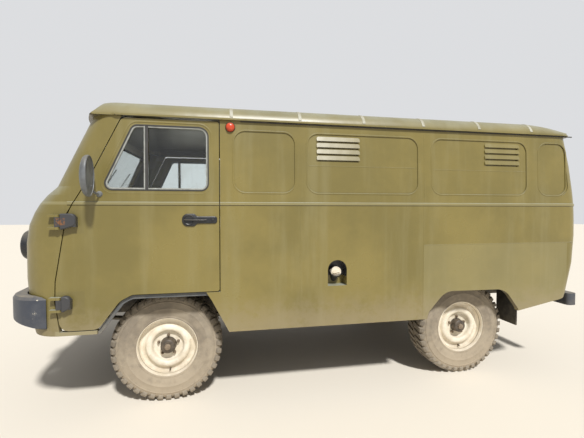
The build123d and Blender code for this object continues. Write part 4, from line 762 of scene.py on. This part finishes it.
def makeWheels():
    for corner, centre in tyre["centres"].items():
        side = -1 if "left" in corner else 1
        body = f"roadwheel_{corner}"
        turnedPiece(f"wheelDisc_{corner}", [(wheel["face"] + wheel["back"], 96)], centre, side, "wheel", body,
                    [f"wheel_{corner}"], closed=True, smoothAngle=50)
        bm = bmesh.new()
        lathe(bm, wheel["hub"], centre, side, 36)
        radius, low, high, angle = wheel["valve"]
        foot = turnPoint(centre, radius * math.cos(angle), radius * math.sin(angle), side * low, "Y")
        lathe(bm, [(0.0, high - low), (0.003, high - low), (0.004, 0.016), (0.006, 0.014), (0.006, 0.0),
                   (0.0, 0.0)], foot, side, 12)
        finishPiece(f"hubCap_{corner}", bm, ["grease"], body)
        turnedPiece(f"hubEnd_{corner}", [(wheel["hubEnd"], 24)], centre, side, "nut", body)
        nuts = growCopies(ringTree, makeNut(side), "nut", {"Count": wheel["nuts"], "Centre": centre,
                                                           "Axis": (0.0, 1.0, 0.0)})
        finishPiece(f"wheelNuts_{corner}", nuts, ["nut"], body, smoothAngle=25)
    print("wheels made")


# a strip laid along an outline; stations are (point, outward in the plane, facing), sections (across, proud)
def outlineStrip(bm, stations, section):
    sweep(bm, [p for p, _, _ in stations], [(a, b) for _, a, b in stations], section)


def stripPiece(name, stations, section, look, body):
    bm = bmesh.new()
    outlineStrip(bm, stations, section)
    finishPiece(name, bm, [look], body)


def outwardNormals(points):
    following = points[1:] + points[:1]
    area = sum(a[0] * b[1] - b[0] * a[1] for a, b in zip(points, following))
    sign = 1 if area > 0 else -1
    normals = []
    for a, b in zip(points[-1:] + points[:-1], following):
        dx, dz = b[0] - a[0], b[1] - a[1]
        long = math.hypot(dx, dz) or 1.0
        normals.append((sign * dz / long, -sign * dx / long))
    return normals


def padSection(inner, outer, low, high, rounding=0.0025):
    return [(inner, low), (outer, low), (outer, high - rounding), (outer - rounding, high),
            (inner + rounding, high), (inner, high - rounding)]


# side skin of the body: upright to the belt, then leaning in
skin = {"y": 0.965, "belt": 1.377, "top": 1.938, "topY": 0.945}


def skinY(z):
    lean = max(0.0, z - skin["belt"]) / (skin["top"] - skin["belt"])
    return skin["y"] - lean * (skin["y"] - skin["topY"])


def sideStations(points, side):
    return [(Vector((x, side * skinY(z), z)), Vector((nx, 0, nz)), Vector((0, side, 0)))
            for (x, z), (nx, nz) in zip(points, outwardNormals(points))]


# cab door windows: pressed rim, black bead, pale frame and the post between the panes
cabWindow = {
    "corners": [(-0.916, 1.466), (-1.570, 1.466), (-1.382, 1.880), (-0.916, 1.880)],
    "radii": [0.045, 0.040, 0.045, 0.060],
    "post": -1.304,
    "postHalf": 0.0125,
    "strips": [
        ("windowRim", "side", "body_paint",
         [(0.018, -0.002), (0.030, -0.002), (0.028, 0.0012), (0.024, 0.0022), (0.020, 0.0012)]),
        ("windowBead", "rubberAndPaintedShade", "black_plastic",
         [(-0.001, -0.010), (0.007, -0.001), (0.0065, 0.0018), (0.003, 0.0032), (-0.001, 0.0028)]),
        ("windowFrame", "cream", "black_plastic", padSection(-0.012, -0.001, -0.014, -0.001)),
    ],
}


def makeCabWindows():
    corners = cabWindow["corners"]
    outline = roundedOutline(corners, cabWindow["radii"])
    low, high = corners[0][1] + 0.002, corners[2][1] - 0.002
    half = cabWindow["postHalf"] + 0.001
    for side, tag in sides:
        body = f"door_front_{tag}"
        stations = sideStations(outline, side)
        for name, look, slot, section in cabWindow["strips"]:
            stripPiece(f"{name}_front_{tag}", stations, section, look, body)
        path = [Vector((cabWindow["post"], side * skinY(z), z)) for z in (low, (low + high) / 2, high)]
        for name, start, end, top, look in (("Edge", -half, -half + 0.008, 0.0018, "cream"),
                                            ("Rubber", -half + 0.008, half, 0.0008, "rubberAndPaintedShade")):
            bm = bmesh.new()
            sweep(bm, path, [(Vector((1, 0, 0)), Vector((0, side, 0)))] * 3,
                  padSection(start, end, -0.006, top, 0.001), closed=False)
            finishPiece(f"windowPost{name}_front_{tag}", bm, [look], body)
    print("cab window seals made")


# a strip round an outline that lies on a CAD node's skin, found along X
def skinStations(points, node, fromX, step):
    surface = surfaceOf(nodes[node].data)
    normals = outwardNormals(points)
    hits = []
    for (y, z), (ny, nz) in zip(points, normals):
        start = Vector((fromX, y + ny * screens["probe"], z + nz * screens["probe"]))
        hits.append(surface.ray_cast(start, Vector((step, 0, 0)))[0])
    known = [(point, hit.x) for point, hit in zip(points, hits) if hit]
    placed = []
    for (y, z), hit in zip(points, hits):
        x = hit.x if hit else min(known, key=lambda pair: (pair[0][0] - y) ** 2 + (pair[0][1] - z) ** 2)[1]
        placed.append(Vector((x, y, z)))
    stations = []
    for i, point in enumerate(placed):
        along = (placed[(i + 1) % len(placed)] - placed[i - 1]).normalized()
        flat = Vector((0, *normals[i]))
        facing = along.cross(flat)
        facing = facing if facing.x * step < 0 else -facing
        across = facing.cross(along).normalized()
        across = across if across.dot(flat) > 0 else -across
        stations.append((point, across, facing.normalized()))
    return stations


screens = {
    "probe": 0.008,
    "front": ([(0.038, 1.505), (0.785, 1.505), (0.752, 1.890), (0.038, 1.890)], [0.045, 0.055, 0.070, 0.045]),
    "rear": ([(0.110, 1.455), (0.600, 1.455), (0.600, 1.800), (0.110, 1.800)], [0.070, 0.070, 0.070, 0.070]),
    "section": [(-0.014, -0.008), (-0.013, 0.001), (-0.008, 0.0045), (0.0, 0.0035), (0.008, 0.0055),
                (0.014, 0.0030), (0.016, -0.003)],
}


def makeScreenSeals():
    for side, tag in sides:
        door = f"door_rear_{tag}"
        for end, node, fromX, step, body in (("front", "nose", -3.0, 1.0, "root"),
                                             ("rear", f"{door}_panel", 3.0, -1.0, door)):
            points = [(side * y, z) for y, z in roundedOutline(*screens[end], 6)]
            stripPiece(f"screenSeal_{end}_{tag}", skinStations(points, node, fromX, step), screens["section"],
                       "rubberAndPaintedShade", body)
    print("windscreen and rear window seals made")


# dark lip over the front wheel, an angle strip under the door's arch
archLip = {
    "path": [(-1.612, 0.560), (-1.600, 0.571), (-1.535, 0.659), (-1.470, 0.746), (-1.435, 0.768),
             (-1.395, 0.783), (-1.300, 0.784), (-1.100, 0.784), (-0.950, 0.784), (-0.905, 0.784)],
    "height": 0.026,
    "y": 0.946,
    "inner": 0.905,
}


def makeArchLips():
    points, height = archLip["path"], archLip["height"]
    deep = archLip["y"] - archLip["inner"]
    section = [(0.0, 0.0), (0.0, deep - 0.002), (0.002, deep), (height - 0.002, deep), (height, deep - 0.002),
               (height - 0.001, deep - 0.005), (0.005, deep - 0.005), (0.004, deep - 0.007), (0.004, 0.0)]
    for side, tag in sides:
        bm = bmesh.new()
        frames = []
        for a, b in zip(points[:1] + points[:-1], points[1:] + points[-1:]):
            dx, dz = b[0] - a[0], b[1] - a[1]
            long = math.hypot(dx, dz)
            frames.append((Vector((dz / long, 0, -dx / long)), Vector((0, side, 0))))
        sweep(bm, [Vector((x, side * archLip["inner"], z)) for x, z in points], frames, section, closed=False)
        finishPiece(f"archLip_{tag}", bm, ["lip"], "root")
    print("arch lips made")


# outside mirrors, and door handles with a bowl, a grip and a button
mirror = {
    "centre": (-1.612, 1.098, 1.538),
    "half": (0.0779, 0.124),
    "rings": [(0.0, -0.0225), (0.45, -0.0215), (0.72, -0.0180), (0.90, -0.0095), (0.985, 0.0020),
              (1.0, 0.0120), (0.985, 0.0200), (0.955, 0.0225), (0.925, 0.0215), (0.915, 0.0185)],
    "arm": [(-1.603, 1.062, 1.478), (-1.598, 1.040, 1.455), (-1.590, 1.010, 1.440), (-1.584, 0.985, 1.436),
            (-1.582, 0.962, 1.436)],
    "foot": [(0.0, 0.016), (0.012, 0.014), (0.017, 0.008), (0.020, 0.0), (0.0, 0.0)],
    "clamp": [(0.0, 0.012), (0.010, 0.012), (0.013, 0.006), (0.013, -0.006), (0.010, -0.012), (0.0, -0.012)],
}
handle = {
    "corners": [(-1.083, 1.228), (-1.004, 1.228), (-0.985, 1.246), (-0.857, 1.246), (-0.857, 1.294),
                (-0.985, 1.294), (-1.004, 1.312), (-1.083, 1.312)],
    "radii": [0.038, 0.018, 0.018, 0.016, 0.016, 0.018, 0.018, 0.038],
    "plate": [(0.0, -0.002), (0.0, 0.004), (0.002, 0.0075), (0.005, 0.009)],
    "bowl": (-1.040, 0.030),
    "button": -0.885,
    "middleZ": 1.270,
    "buttonProfile": [(0.0, 0.017), (0.005, 0.017), (0.0075, 0.015), (0.008, 0.008), (0.0, 0.008)],
    "grip": [(-1.068, 0.014), (-1.058, 0.0185), (-1.040, 0.0215), (-1.010, 0.0205), (-0.975, 0.0185),
             (-0.945, 0.0155), (-0.925, 0.010)],
}


def makeMirror(side, tag):
    cx, cy, cz = mirror["centre"]
    wide, tall = mirror["half"]
    bm = bmesh.new()
    rings = [[bm.verts.new((cx + along, side * cy + wide * scale * c, cz + tall * scale * s))
              for c, s in (turns(48) if scale else [(0.0, 0.0)])] for scale, along in mirror["rings"]]
    joinRings(bm, rings)
    bm.faces.new(rings[-1])
    arm = [(x, side * y, z) for x, y, z in mirror["arm"]]
    tube(bm, arm, 0.0065, 12)
    lathe(bm, mirror["foot"], arm[-1], side, 24)
    x, y, z = mirror["arm"][0]
    lathe(bm, mirror["clamp"], (x, side * (y + 0.004), z), side, 20)
    finishPiece(f"mirror_{tag}", bm, ["mirrorShellDustAndReflection"], f"door_{tag}")


def makeHandle(side, tag, body, shift, replaced, flip):
    bm = bmesh.new()
    outline = roundedOutline(handle["corners"], handle["radii"], 6)
    normals = outwardNormals(outline)
    middle = handle["middleZ"]

    def spot(x, z, proud):
        return (shift + flip * (x - handle["corners"][0][0]), side * (skin["y"] + proud), z)

    rings = [[bm.verts.new(spot(x - nx * inset, z - nz * inset, proud))
              for (x, z), (nx, nz) in zip(outline, normals)] for inset, proud in handle["plate"]]
    joinRings(bm, rings)
    bm.faces.new(rings[-1])
    bm.faces.new(rings[0])
    x, radius = handle["bowl"]
    lathe(bm, [(0.0, 0.0095), (radius * 0.8, 0.0098), (radius - 0.003, 0.0105), (radius, 0.0128),
               (radius + 0.003, 0.0128), (radius + 0.005, 0.0100), (radius + 0.006, 0.006), (0.0, 0.006)],
          spot(x, middle, 0.0), side, 40)
    tube(bm, [spot(x, middle, proud) for x, proud in handle["grip"]], 0.0085, 14, flat=0.45)
    lathe(bm, handle["buttonProfile"], spot(handle["button"], middle, 0.0), side, 24)
    finishPiece(f"handle_{tag}", bm, ["black"], body, replaced, 35)


def makeFittings():
    for side, tag in sides:
        tag = f"front_{tag}"
        makeMirror(side, tag)
        makeHandle(side, tag, f"door_{tag}", handle["corners"][0][0], [f"door_{tag}_fittings"], 1)
    makeHandle(1, "side", "door_side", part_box("door_side_handle")[1].x, ["door_side_handle"], -1)
    print("mirrors and handles made")


# filler caps in their pockets: a stepped cream cap with a finger bar, over each tank's neck
filler = {
    "places": ((-0.014, -1, "left"), (0.130, 1, "right")),
    "z": 0.887,
    "neck": (0.012, 0.014),
    "profile": [(0.0, 0.012), (0.0200, 0.012), (0.0240, 0.008), (0.0300, 0.008), (0.0350, 0.010),
                (0.0385, 0.006), (0.0385, -0.003), (0.0, -0.003)],
    "bar": [(-0.027, 0.012, -0.004), (0.0, 0.019, 0.0), (0.027, 0.012, 0.004)],
}


def makeFillerCaps():
    surface = surfaceOf(nodes["fuel_tanks"].data)
    for x, side, tag in filler["places"]:
        z = filler["z"]
        neckX, neckZ = filler["neck"]
        y = surface.ray_cast(Vector((x + neckX, side * 1.2, z + neckZ)), Vector((0, -side, 0)))[0].y
        bm = bmesh.new()
        lathe(bm, filler["profile"], (x, y, z), side, 40)
        tube(bm, [(x + across, y + side * proud, z + up) for across, proud, up in filler["bar"]], 0.0055, 10)
        finishPiece(f"fillerCap_{tag}", bm, ["wheel"], "root")
    print("filler caps made")


# lamps: headlamps on the nose, small lamps, side repeaters and tail lamps
headlamp = {
    "centre": (-2.062, 0.630, 1.094),
    "bezel": [(0.0865, 0.066), (0.0870, 0.078), (0.0900, 0.0845), (0.0950, 0.0840), (0.1000, 0.0760),
              (0.1015, 0.0640), (0.1015, 0.0), (0.0960, 0.0), (0.0950, 0.0600)],
    "lens": [(0.0, 0.0870), (0.020, 0.0865), (0.045, 0.0845), (0.068, 0.0795), (0.087, 0.0715),
             (0.087, 0.0675), (0.068, 0.0755), (0.045, 0.0805), (0.020, 0.0825), (0.0, 0.0830)],
    "bowl": [(0.0, 0.018), (0.020, 0.020), (0.045, 0.029), (0.068, 0.045), (0.085, 0.063), (0.086, 0.058),
             (0.070, 0.040), (0.047, 0.024), (0.020, 0.014), (0.0, 0.012)],
    "bulb": [(0.0, 0.056), (0.006, 0.054), (0.010, 0.048), (0.011, 0.040), (0.008, 0.030), (0.007, 0.016),
             (0.0, 0.016)],
}
smallLamps = {
    "front": (-2.076, 0.655, 0.852),
    "frontBody": [(0.0, 0.0), (0.030, 0.0), (0.030, 0.022), (0.027, 0.026), (0.0, 0.026)],
    "frontLens": [(0.0, 0.048), (0.008, 0.0475), (0.017, 0.0445), (0.024, 0.038), (0.0265, 0.030),
                  (0.0265, 0.024), (0.0, 0.024)],
    "repeaterX": (-0.768, -0.804),
    "repeaterYZ": (0.9465, 1.892),
    "repeaterBase": [(0.0, 0.0), (0.0335, 0.0), (0.0335, 0.005), (0.0310, 0.008), (0.0, 0.008)],
    "repeaterLens": [(0.0, 0.0285), (0.009, 0.0280), (0.018, 0.0255), (0.0250, 0.0200), (0.0290, 0.013),
                     (0.0300, 0.006), (0.0, 0.006)],
    "tail": (2.080, 0.770, 0.870),
    "tailSize": (0.052, 0.080, 0.180),
    "tailLenses": (("stop", 0.62, 0.97, "redLens"), ("turn", 0.32, 0.60, "amberLens"),
                   ("tail", 0.03, 0.30, "redLens")),
}


def makeLamps():
    for side, tag in sides:
        def faced(name, profiles, spot, look, replaces=(), closed=False):
            centre = (spot[0], side * spot[1], spot[2])
            turnedPiece(f"{name}_{tag}", profiles, centre, -1, look, "root", replaces, "X", closed)

        big, small = headlamp["centre"], smallLamps["front"]
        faced("headlampBezel", [(headlamp["bezel"], 64)], big, "black", closed=True)
        faced("headlampBowl", [(headlamp["bowl"], 64), (headlamp["bulb"], 24)], big, "chrome",
              ["headlamps"] if side < 0 else ())
        faced("headlampLens", [(headlamp["lens"], 64)], big, "lampGlass")
        faced("smallLampBody", [(smallLamps["frontBody"], 32)], small, "black")
        faced("smallLampLens", [(smallLamps["frontLens"], 32)], small, "whiteLens")
        x, y, z = smallLamps["tail"]
        dx, dy, dz = smallLamps["tailSize"]
        inner, outer = sorted((side * y, side * (y + dy)))
        bm = bmesh.new()
        bevelBox(bm, (x, inner, z), (x + dx * 0.55, outer, z + dz), 0.008, 3)
        finishPiece(f"tailLampBody_{tag}", bm, ["black"], "root")
        for name, low, high, look in smallLamps["tailLenses"]:
            bm = bmesh.new()
            bevelBox(bm, (x + dx * 0.45, inner + 0.005, z + dz * low),
                     (x + dx * 0.98, outer - 0.005, z + dz * high), 0.007, 3)
            finishPiece(f"tailLens_{name}_{tag}", bm, [look], "root")
    for (side, tag), x in zip(sides, smallLamps["repeaterX"]):
        y, z = smallLamps["repeaterYZ"]
        centre = (x, side * y, z)
        turnedPiece(f"repeaterBase_{tag}", [(smallLamps["repeaterBase"], 32)], centre, side, "black", "root",
                    ["marker_lamps"] if side < 0 else ())
        turnedPiece(f"repeaterLens_{tag}", [(smallLamps["repeaterLens"], 32)], centre, side, "redLens",
                    "root")
    print("lamps made")


# welded seams and the pressed rims of the blanked windows, laid on the side skins
seams = {
    "upright": [(-0.286, 0.600, 1.360), (0.665, 0.600, 1.360), (0.668, 1.400, 1.900)],
    "along": [(0.668, 2.010, 1.071), (-0.225, 0.600, 1.647), (0.745, 1.560, 1.640)],
    "blanks": [(-0.750, -0.320), (-0.239, 0.620), (0.728, 1.570), (1.675, 1.942)],
    "blankZ": (1.450, 1.875),
    "blankRadius": 0.085,
    "behindDoor": -0.050,
    "firstRightBlank": 0.7,
    "ridge": [(-0.0035, -0.001), (0.0035, -0.001), (0.0022, 0.0007), (0.0, 0.0010), (-0.0022, 0.0007)],
    "rim": [(-0.0060, -0.001), (0.0060, -0.001), (0.0040, 0.0016), (0.0, 0.0024), (-0.0040, 0.0016)],
}


def makeSeams():
    bottom, top = seams["blankZ"]
    for side, tag in sides:
        surface = surfaceOf(nodes[f"side_wall_{tag}"].data)
        outward = Vector((0, side, 0))

        def seam(bm, start, end, across, steps):
            path = []
            for k in range(steps + 1):
                x, z = (a + (b - a) * k / steps for a, b in zip(start, end))
                hit = surface.ray_cast(Vector((x, side * 1.2, z)), -outward)[0]
                path.append(Vector((x, hit.y if hit and abs(hit.y) > 0.90 else side * skinY(z), z)))
            sweep(bm, path, [(Vector(across), outward)] * (steps + 1), seams["ridge"], closed=False)

        bm = bmesh.new()
        for x, low, high in seams["upright"]:
            if side < 0 or x > seams["behindDoor"]:
                seam(bm, (x, low), (x, high), (1, 0, 0), 12)
        for low, high, z in seams["along"]:
            seam(bm, (low if side < 0 else max(low, -0.055), z), (high, z), (0, 0, 1), 24)
        finishPiece(f"weldSeams_{tag}", bm, ["side"], "root")
        bm = bmesh.new()
        for low, high in seams["blanks"]:
            if side < 0 or low > seams["firstRightBlank"]:
                points = roundedOutline([(low, bottom), (high, bottom), (high, top), (low, top)],
                                        [seams["blankRadius"]] * 4, 10)
                outlineStrip(bm, sideStations(points, side), seams["rim"])
        finishPiece(f"blankRims_{tag}", bm, ["side"], "root")
    print("seams and rims made")


# air intake in the nose: a raised rim, and a row of upright dark strips between the headlamps, painted shade
# where the slots open
intake = {
    "half": 0.355, "low": 1.035, "high": 1.150, "radius": 0.055,
    "slots": 17, "slotHalf": 0.0065, "inset": 0.022,
    "rim": [(-0.010, -0.002), (0.010, -0.002), (0.007, 0.0040), (0.0, 0.0060), (-0.007, 0.0040)],
}


def makeIntake():
    surface = surfaceOf(nodes["nose"].data)

    def onNose(y, z):
        spot, facing = surface.ray_cast(Vector((-3.0, y, z)), Vector((1, 0, 0)))[:2]
        return spot, (facing if facing.x < 0 else -facing)

    half, low, high, wide = intake["half"], intake["low"], intake["high"], intake["slotHalf"]
    points = roundedOutline([(-half, low), (half, low), (half, high), (-half, high)], [intake["radius"]] * 4)
    stations = []
    for (y, z), normal in zip(points, outwardNormals(points)):
        spot, facing = onNose(y, z)
        across = Vector((0, *normal))
        stations.append((spot, (across - facing * across.dot(facing)).normalized(), facing))
    stripPiece("intakeRim", stations, intake["rim"], "plain", "root")
    # dark strips a hair proud of the nose: painted shade of the slot openings
    bm = bmesh.new()
    span = half - intake["radius"]
    for i in range(intake["slots"]):
        y = -span + 2 * span * i / (intake["slots"] - 1)
        inset = intake["inset"]
        spots = [onNose(y, low + inset + (high - low - 2 * inset) * k / 6) for k in range(7)]
        sweep(bm, [spot for spot, _ in spots], [(Vector((0, 1, 0)), facing) for _, facing in spots],
              [(-wide, -0.002), (wide, -0.002), (wide, 0.0004), (wide * 0.6, 0.0010), (-wide * 0.6, 0.0010),
               (-wide, 0.0004)], closed=False)
    finishPiece("intakeSlotShadeStrips", bm, ["rubberAndPaintedShade"], "root")
    print("nose intake made")


# steering wheel: round rim, two spokes and a domed hub across the column
steering = {
    "centre": (-1.600, -0.430, 1.270), "column": (0.230, -0.030, 0.480), "radius": 0.196, "grip": 0.0125,
    "lift": 0.036,
    "hub": [(0.0, 0.022), (0.018, 0.020), (0.030, 0.012), (0.036, 0.0), (0.032, -0.014), (0.020, -0.040),
            (0.0, -0.040)],
}


def makeSteeringWheel():
    bm = bmesh.new()
    axis = Vector(steering["column"]).normalized()
    centre = Vector(steering["centre"]) + axis * steering["lift"]
    side = axis.cross(Vector((0, 1, 0))).normalized()
    up = side.cross(axis).normalized()
    tube(bm, [centre + (side * c + up * s) * steering["radius"] for c, s in turns(64)], steering["grip"], 12,
         closed=True)
    hub = centre - axis * 0.010
    for angle in (0.0, math.pi):
        way = up * math.cos(angle) + side * math.sin(angle)
        tube(bm, [hub + way * 0.02, hub + way * 0.09, centre + way * 0.15, centre + way * steering["radius"]],
             0.008, 10, flat=0.8)
    rings = [[bm.verts.new(hub + axis * along + (side * c + up * s) * radius)
              for c, s in (turns(24) if radius else [(0.0, 0.0)])] for radius, along in steering["hub"]]
    joinRings(bm, rings)
    finishPiece("steeringRim", bm, ["black"], "steering_wheel", ["steering_wheel"])
    print("steering wheel made")


# seats: crowned cushions and backs with sewn channels and piping, on a dark base frame
seat = {
    "centre": 0.665,
    "half": 0.212,
    "cushion": ((-1.425, 0.872), (-0.965, 0.985)),
    "back": ((-0.955, 0.930), (-0.868, 1.396)),
    "backThick": 0.070,
    "channels": 5,
    "crown": 0.020,
}


# a padded block in (across, along, thick) shares from -1 to 1, with rounded rims and sewn channels
def padMesh(bm, origin, across, along, thick, channels, crown):
    count = 28
    grid = {}
    for i in range(count + 1):
        for j in range(count + 1):
            u, v = -1 + 2 * i / count, -1 + 2 * j / count
            edge = (1 - abs(u) ** 6) * (1 - abs(v) ** 6)
            pinch = 0.05 * (1 - u * u) * abs(v) ** 8 + 0.05 * (1 - v * v) * abs(u) ** 8
            fromSeam = ((u * channels / 2 + 0.5) % 1.0) - 0.5
            sew = 1 - 0.30 * math.exp(-(fromSeam * 9) ** 2) if abs(u) < 0.86 else 1
            for k, face in enumerate((-1, 1)):
                height = face * (0.55 + 0.45 * edge ** 0.35) * (sew if face > 0 else 1)
                swell = crown * (1 - u * u) * (1 - v * v) * (1 if face > 0 else 0)
                point = origin + across * u * (1 - pinch * 0.4) + along * v * (1 - pinch * 0.4)
                grid[i, j, k] = bm.verts.new(point + thick * height + thick.normalized() * swell)
    for i in range(count):
        for j in range(count):
            for k in (0, 1):
                bm.faces.new((grid[i, j, k], grid[i + 1, j, k], grid[i + 1, j + 1, k], grid[i, j + 1, k]))
    rim = ([(i, 0) for i in range(count)] + [(count, j) for j in range(count)]
           + [(i, count) for i in range(count, 0, -1)] + [(0, j) for j in range(count, 0, -1)])
    for a, b in zip(rim, rim[1:] + rim[:1]):
        bm.faces.new((grid[(*a, 0)], grid[(*b, 0)], grid[(*b, 1)], grid[(*a, 1)]))
    return [grid[(*spot, 1)].co.copy() for spot in rim]


def makeSeats():
    (lowX, lowZ), (highX, highZ) = seat["cushion"]
    (footX, footZ), (topX, topZ) = seat["back"]
    for side, tag in sides:
        y = side * seat["centre"]
        across = Vector((0, seat["half"], 0))
        along = Vector((topX - footX, 0, topZ - footZ)) / 2
        face = Vector((-along.z, 0, along.x)).normalized() * seat["backThick"] / 2
        pads = (("seatCushion", Vector(((lowX + highX) / 2, y, (lowZ + highZ) / 2)),
                 Vector(((highX - lowX) / 2, 0, 0)), Vector((0, 0, (highZ - lowZ) / 2 - 0.010)),
                 seat["crown"], ["seats"] if side < 0 else ()),
                ("seatBack", Vector(((footX + topX) / 2 - 0.01, y, (footZ + topZ) / 2)), along, face * 0.85,
                 seat["crown"] * 0.6, ()))
        for name, origin, length, thick, crown, replaces in pads:
            bm = bmesh.new()
            rim = padMesh(bm, origin, across, length, thick, seat["channels"], crown)
            tube(bm, rim[::2], 0.004, 6, closed=True)
            piece = finishPiece(f"{name}_{tag}", bm, ["leather"], "root", replaces, 60)
        bm = bmesh.new()
        bevelBox(bm, (lowX + 0.02, y - 0.195, 0.849), (highX - 0.01, y + 0.195, 0.878), 0.006, 2)
        for edge in (-0.19, 0.19):
            tube(bm, [(highX - 0.05, y + edge, 0.866), (highX + 0.012, y + edge, 0.900),
                      (footX + 0.030, y + edge, 1.00), (topX + 0.030, y + edge, 1.330)], 0.011, 10)
        finishPiece(f"seatFrame_{tag}", bm, ["black"], "root")
    print("seats made")


def bounded(value):
    return min(max(value, 0.0), 1.0)


# roof: the CAD shell with its visor drawn back towards the corners, as a curved peak is
visor = {
    "cutsY": (0.15, 0.30, 0.42, 0.52, 0.60, 0.67, 0.73, 0.78, 0.83, 0.87, 0.90, 0.925),
    "cutsX": (-1.40, -1.46, -1.52, -1.57, -1.62, -1.66, -1.70, -1.735),
    "start": -1.34, "full": -1.72, "pull": 0.130, "half": 0.95, "power": 3.2,
    "rearCuts": (1.60, 1.68, 1.76, 1.83, 1.89, 1.94, 1.98, 2.01), "rearStart": 1.52, "rearEnd": 2.03,
    "rearPower": 2.6, "flat": 0.86, "base": 1.945, "crown": 0.14,
    "frontStart": -1.49, "frontReach": 0.115, "frontDrop": 0.030,
}


def makeRoof():
    bm = bmesh.new()
    bm.from_mesh(nodes["roof"].data)
    bmesh.ops.remove_doubles(bm, verts=bm.verts, dist=mergeReach)

    def cut(geom, point, normal):
        bmesh.ops.bisect_plane(bm, geom=geom, plane_co=point, plane_no=normal, dist=0.00001)

    for x in visor["cutsX"] + visor["rearCuts"]:
        cut(bm.verts[:] + bm.edges[:] + bm.faces[:], (x, 0, 0), (1, 0, 0))
    for y in visor["cutsY"]:
        for side, _ in sides:
            near = [f for f in bm.faces if min(v.co.x for v in f.verts) < visor["start"]]
            edges = list(dict.fromkeys(e for f in near for e in f.edges))
            verts = list(dict.fromkeys(v for f in near for v in f.verts))
            cut(near + edges + verts, (0, side * y, 0), (0, 1, 0))
    for vert in bm.verts:
        share = bounded((visor["start"] - vert.co.x) / (visor["start"] - visor["full"]))
        share = share * share * (3 - 2 * share)
        vert.co.x += visor["pull"] * min(abs(vert.co.y) / visor["half"], 1.0) ** visor["power"] * share
        rise = vert.co.z - visor["base"]
        if rise > 0:
            back = bounded((vert.co.x - visor["rearStart"]) / (visor["rearEnd"] - visor["rearStart"]))
            ahead = bounded((visor["frontStart"] - vert.co.x) / visor["frontReach"])
            vert.co.z -= rise * visor["flat"] * back ** visor["rearPower"]
            vert.co.z -= visor["frontDrop"] * ahead ** 2 * min(rise / visor["crown"], 1.0)
    finishPiece("roofShell", bm, ["roof"], "root", ["roof"], 35)
    print("roof made")


# pale strips over the roof's rounded edge, in line with its ribs, worn paint and painted highlight; and a
# black strip under the gutter, the gutter's painted shadow
roofEdge = {
    "firstX": -0.760, "pitch": 0.474, "count": 6, "inY": 0.560, "outY": 0.9515, "steps": 14, "half": 0.011,
    "proud": 0.0030, "lineX": (-0.700, 2.000), "lineZ": 1.9335, "lineY": 0.9480,
    "line": [(-0.004, -0.003), (0.004, -0.003), (0.004, 0.002), (0.0, 0.004), (-0.004, 0.002)],
}


def makeRoofEdges():
    surface = surfaceOf(bpy.data.objects["roofShell"].data)
    half, proud, low = roofEdge["half"], roofEdge["proud"], roofEdge["proud"] * 0.6
    section = [(-half, -0.002), (half, -0.002), (half, low), (half * 0.7, proud), (-half * 0.7, proud),
               (-half, low)]
    for side, tag in sides:
        bm = bmesh.new()
        for i in range(roofEdge["count"]):
            x = roofEdge["firstX"] + i * roofEdge["pitch"]
            path, frames = [], []
            for k in range(roofEdge["steps"] + 1):
                share = math.sin(k / roofEdge["steps"] * math.pi / 2)
                y = roofEdge["inY"] + (roofEdge["outY"] - roofEdge["inY"]) * share
                spot, facing = surface.ray_cast(Vector((x, side * y, 2.3)), Vector((0, 0, -1)))[:2]
                if spot is not None and spot.z > skin["top"]:
                    path.append(spot)
                    frames.append((Vector((1, 0, 0)), facing if facing.z > 0 else -facing))
            if len(path) > 2:
                sweep(bm, path, frames, section, closed=False)
        finishPiece(f"roofStrips_{tag}", bm, ["strip"], "root")
        # a black strip under the gutter stands in for the gutter's shadow: painted shadow
        bm = bmesh.new()
        start, end = roofEdge["lineX"]
        y, z = roofEdge["lineY"], roofEdge["lineZ"]
        path = [Vector((x, side * y, z)) for x in (start, (start + end) / 2, end)]
        sweep(bm, path, [(Vector((0, 0, 1)), Vector((0, side, 0)))] * 3, roofEdge["line"], closed=False)
        finishPiece(f"gutterShadowLine_{tag}", bm, ["rubberAndPaintedShade"], "root")
    print("roof edges made")


# rivets along both chassis rails, by geometry nodes
rivets = {"radius": 0.0075, "height": 0.0045, "spacing": 0.150, "start": -1.70, "end": 1.9, "z": 0.62}


def makeRivets():
    bm = bmesh.new()
    radius, height = rivets["radius"], rivets["height"]
    dome = [(radius, -0.002), (radius, 0.001), (radius * 0.75, height * 0.8), (0.0, height)]
    lathe(bm, dome, (0, 0, 0), 1, 10)
    rail = surfaceOf(nodes["chassis_frame"].data)
    outer = rail.ray_cast(Vector((0.3, 2.0, rivets["z"])), Vector((0, -1, 0)))[0]
    gathered = growCopies(rowTree, plainMesh("rivet", bm), "chassis", {
        "Count": int((rivets["end"] - rivets["start"]) / rivets["spacing"]),
        "Start": (rivets["start"], outer.y, rivets["z"]), "Step": (rivets["spacing"], 0.0, 0.0)})
    other = gathered.copy()
    for vert in other.verts:
        vert.co.y = -vert.co.y
    gathered.from_mesh(plainMesh("rivetsOther", other))
    finishPiece("railRivets", gathered, ["chassis"], "root")
    print("rivets made")


makeCamera()
makeStudio()
dressNodes()
makeTyres()
makeWheels()
makeCabWindows()
makeScreenSeals()
makeArchLips()
makeFittings()
makeLamps()
makeFillerCaps()
makeSeams()
makeIntake()
makeSteeringWheel()
makeSeats()
makeRoof()
makeRoofEdges()
makeRivets()
